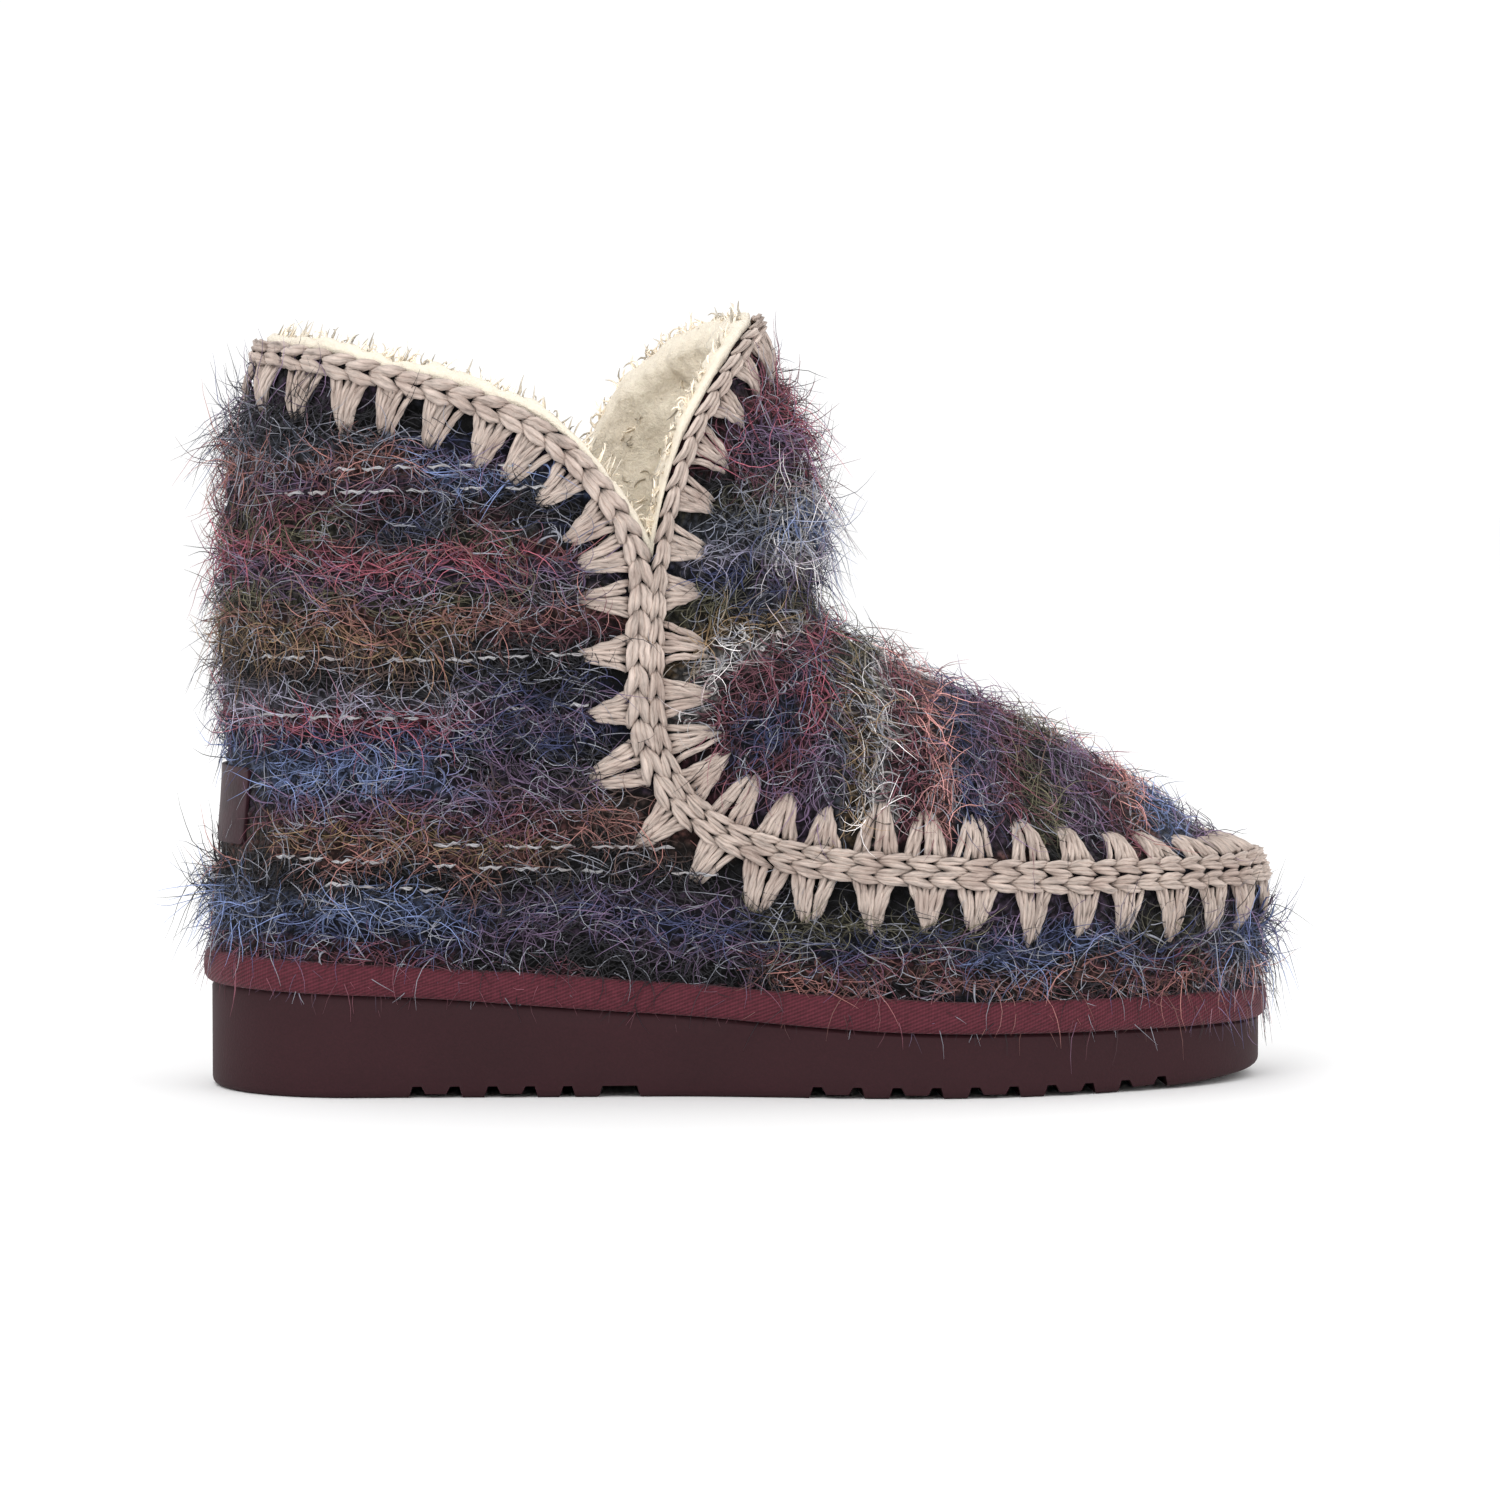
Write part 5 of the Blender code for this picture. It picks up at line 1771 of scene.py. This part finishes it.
def make_sole():
    """The foam sole: rounded lower edge, slightly drawn-in top and lug grooves cut across."""
    turn = even_columns(SOLE_COLUMNS)
    foot = foot_ring(turn)
    widest = widened(foot, SOLE_LIP)[:, :2]
    rings = []
    for inset, rise in SOLE_BEVEL_CURVE:
        ring = widened(foot, SOLE_LIP - SOLE_BEVEL * inset)
        rings.append(np.column_stack([ring[:, :2], ground(ring[:, 0]) + SOLE_BEVEL * rise]))
    top = widened(foot, SOLE_LIP - SOLE_DRAFT)
    top = np.column_stack([top[:, :2], feather(top[:, 0])])
    low = rings[-1][:, 2]
    for share in (0.25, 0.5, 0.75, 0.95):
        rings.append(np.column_stack([widest, low + (top[:, 2] - low) * share]))
    rings.append(top)
    sole = show("foam_sole", capped_mesh("foam_sole", rings))
    groups = (
        ("heel_grooves", HEEL_GROOVES_START, HEEL_GROOVES, HEEL_LUG_PITCH, GROOVE_WIDTH),
        ("arch_recess", ARCH_RECESS_START, 1, 0, ARCH_RECESS_WIDTH),
        ("ball_grooves", BALL_GROOVES_START, BALL_GROOVES, BALL_LUG_PITCH, GROOVE_WIDTH),
    )
    cutters = []
    for name, start, count, pitch, width in groups:
        cutter = groove_cutter(name, start * FOOT_LENGTH, count, pitch, width)
        cut = sole.modifiers.new(name, "BOOLEAN")
        cut.operation = "DIFFERENCE"
        cut.object = cutter
        cutters.append(cutter)
    cut_mesh = evaluated_mesh(sole)
    sole.modifiers.clear()
    sole.data = cut_mesh
    for cutter in cutters:
        bpy.data.objects.remove(cutter)
    cut_mesh.materials.clear()
    cut_mesh.materials.append(foam_finish())
    cut_mesh.shade_smooth()
    cut_mesh.set_sharp_from_angle(angle=math.radians(35))
    dress(sole, "sole_foam", "outsole")


# The patch's rows: share of its height, share of its width, and how round its corners are
PATCH_OUTLINE = (
    (-0.50, 0.955), (-0.49, 0.975), (-0.46, 0.99), (-0.40, 1.0), (-0.25, 1.0), (0.0, 1.0),
    (0.25, 1.0), (0.40, 1.0), (0.46, 0.99), (0.49, 0.975), (0.50, 0.955),
)


def make_patch():
    """The small leather patch on the back of the heel, left bare."""
    rings = []
    for share_up, share_wide in PATCH_OUTLINE:
        z = height_of(PATCH_LEVEL) + PATCH_HEIGHT * share_up
        reach = PATCH_WIDTH / 2 * share_wide / half_girth(slice_at(z))
        turn = np.linspace(-reach, reach, PATCH_COLUMNS)
        rings.append(surface(turn, z) + outward(turn, z) * CHAIN_GAP)
    mesh = loft("heel_patch_leather", rings, leather_finish(), closed_rings=False)
    patch = show("heel_patch_leather", mesh)
    leather = patch.modifiers.new("leather", "SOLIDIFY")
    leather.thickness = PATCH_THICKNESS
    leather.offset = 1
    leather.use_even_offset = True
    edge = patch.modifiers.new("edge", "BEVEL")
    edge.width = PATCH_THICKNESS * 0.35
    edge.segments = 3
    edge.limit_method = "ANGLE"
    dress(patch, "patch_leather", "heel_patch")


# Stage

CAMERA_PLACE = (-0.11585, -1.49432, 0.1760)
CAMERA_TARGET = (0.00184, 0.00106, 0.0826)
CAMERA_LENS = 144.0
SENSOR_WIDTH = 36.0
WORLD_STRENGTH = 1.06
FLOOR_HALF = 6.0
LIGHT_TARGET = (0.0, 0.0, 0.08)

# Lights: name, place, size in metres and power in watts
LIGHTS = (
    ("key_light", (-0.7, -1.3, 1.3), 1.0, 10.0),
    ("fill_light", (1.3, -1.0, 0.7), 1.2, 4.0),
    ("back_light", (0.1, 1.4, 1.6), 1.6, 2.0),
)


def aim(obj, spot, target):
    """Put a light or camera at a place, looking at another."""
    obj.location = spot
    obj.rotation_euler = (Vector(target) - Vector(spot)).to_track_quat("-Z", "Y").to_euler()


def make_stage():
    """Pale floor, soft studio light and the camera at the photograph's angle."""
    scene = bpy.context.scene
    scene.view_settings.view_transform = "Standard"
    world = bpy.data.worlds.new("studio")
    scene.world = world
    world.use_nodes = True
    sky = world.node_tree.nodes["Background"].inputs
    sky["Color"].default_value = (1, 1, 1, 1)
    sky["Strength"].default_value = WORLD_STRENGTH
    half = FLOOR_HALF
    floor_mesh = bpy.data.meshes.new("floor")
    corners = [(-half, -half, 0), (half, -half, 0), (half, half, 0), (-half, half, 0)]
    floor_mesh.from_pydata(corners, [], [(0, 1, 2, 3)])
    material, w, shader = new_material("pale_floor")
    faint = noise(w, object_place(w), 3.0, 2.0)
    base = w.ramp(faint, (0.3, (0.955, 0.955, 0.955)), (0.7, (0.965, 0.965, 0.965)))
    set_shader(w, shader, base, 0.9, Specular_IOR_Level=0.1)
    floor_mesh.materials.append(material)
    floor = show("floor", floor_mesh)
    for name, spot, size, power in LIGHTS:
        data = bpy.data.lights.new(name, "AREA")
        data.shape = "DISK"
        data.size = size
        data.energy = power
        aim(show(name, data), spot, LIGHT_TARGET)
    data = bpy.data.cameras.new("camera")
    data.lens = CAMERA_LENS
    data.sensor_width = SENSOR_WIDTH
    data.clip_start = 0.05
    camera = show("camera", data)
    aim(camera, CAMERA_PLACE, CAMERA_TARGET)
    scene.camera = camera


# Operators and panel

class Build:
    """What each operator does: it builds its pieces one after another."""

    steps = ()

    def execute(self, context):
        for step in self.steps:
            step()
        return {"FINISHED"}


class BOOT_OT_knit(Build, Operator):
    """Build the knitted upper"""

    bl_idname = "boot.knit"
    bl_label = "Knit upper"
    steps = (make_knit,)


class BOOT_OT_hairs(Build, Operator):
    """Grow the eyelash hairs and loops on the knit"""

    bl_idname = "boot.hairs"
    bl_label = "Eyelash hairs"
    steps = (make_hairs,)


class BOOT_OT_chains(Build, Operator):
    """Crochet the chains along the seam and the rims"""

    bl_idname = "boot.chains"
    bl_label = "Crocheted chains"
    steps = (make_chains,)


class BOOT_OT_fans(Build, Operator):
    """Crochet the fans beside the chains"""

    bl_idname = "boot.fans"
    bl_label = "Crocheted fans"
    steps = (make_fans,)


class BOOT_OT_threads(Build, Operator):
    """Lay the white threads along the courses"""

    bl_idname = "boot.threads"
    bl_label = "White threads"
    steps = (make_threads,)


class BOOT_OT_fleece(Build, Operator):
    """Build the fleece lining, its tufts and the footbed"""

    bl_idname = "boot.fleece"
    bl_label = "Fleece"
    steps = (make_fleece, make_tufts, make_footbed)


class BOOT_OT_sole(Build, Operator):
    """Build the foam sole and the twill tape round it"""

    bl_idname = "boot.sole"
    bl_label = "Sole and tape"
    steps = (make_sole, make_tape)


class BOOT_OT_patch(Build, Operator):
    """Build the bare leather patch on the heel"""

    bl_idname = "boot.patch"
    bl_label = "Heel patch"
    steps = (make_patch,)


class BOOT_OT_stage(Build, Operator):
    """Set the floor, the lights and the camera"""

    bl_idname = "boot.stage"
    bl_label = "Stage"
    steps = (make_stage,)


OPERATORS = (
    BOOT_OT_sole, BOOT_OT_knit, BOOT_OT_chains, BOOT_OT_fans, BOOT_OT_threads,
    BOOT_OT_hairs, BOOT_OT_fleece, BOOT_OT_patch, BOOT_OT_stage,
)


class BOOT_PT_panel(Panel):
    """Lists the boot's sizes, colours and pieces"""

    bl_idname = "BOOT_PT_panel"
    bl_label = "Mukluk boot"
    bl_space_type = "VIEW_3D"
    bl_region_type = "UI"
    bl_category = "Boot"

    def draw(self, context):
        layout = self.layout
        for group in (context.scene.boot_sizes, context.scene.boot_colours):
            for name in group.__annotations__:
                layout.prop(group, name)
        for operator in OPERATORS:
            layout.operator(operator.bl_idname)


CLASSES = (YarnSizes, BootColours, *OPERATORS, BOOT_PT_panel)


def register():
    for cls in CLASSES:
        bpy.utils.register_class(cls)
    bpy.types.Scene.boot_sizes = PointerProperty(type=YarnSizes)
    bpy.types.Scene.boot_colours = PointerProperty(type=BootColours)


def unregister():
    del bpy.types.Scene.boot_colours
    del bpy.types.Scene.boot_sizes
    for cls in reversed(CLASSES):
        bpy.utils.unregister_class(cls)


def main():
    register()
    bpy.ops.boot.sole()
    bpy.ops.boot.knit()
    bpy.ops.boot.chains()
    bpy.ops.boot.fans()
    bpy.ops.boot.threads()
    bpy.ops.boot.hairs()
    bpy.ops.boot.fleece()
    bpy.ops.boot.patch()
    bpy.ops.boot.stage()


if __name__ == "__main__":
    main()
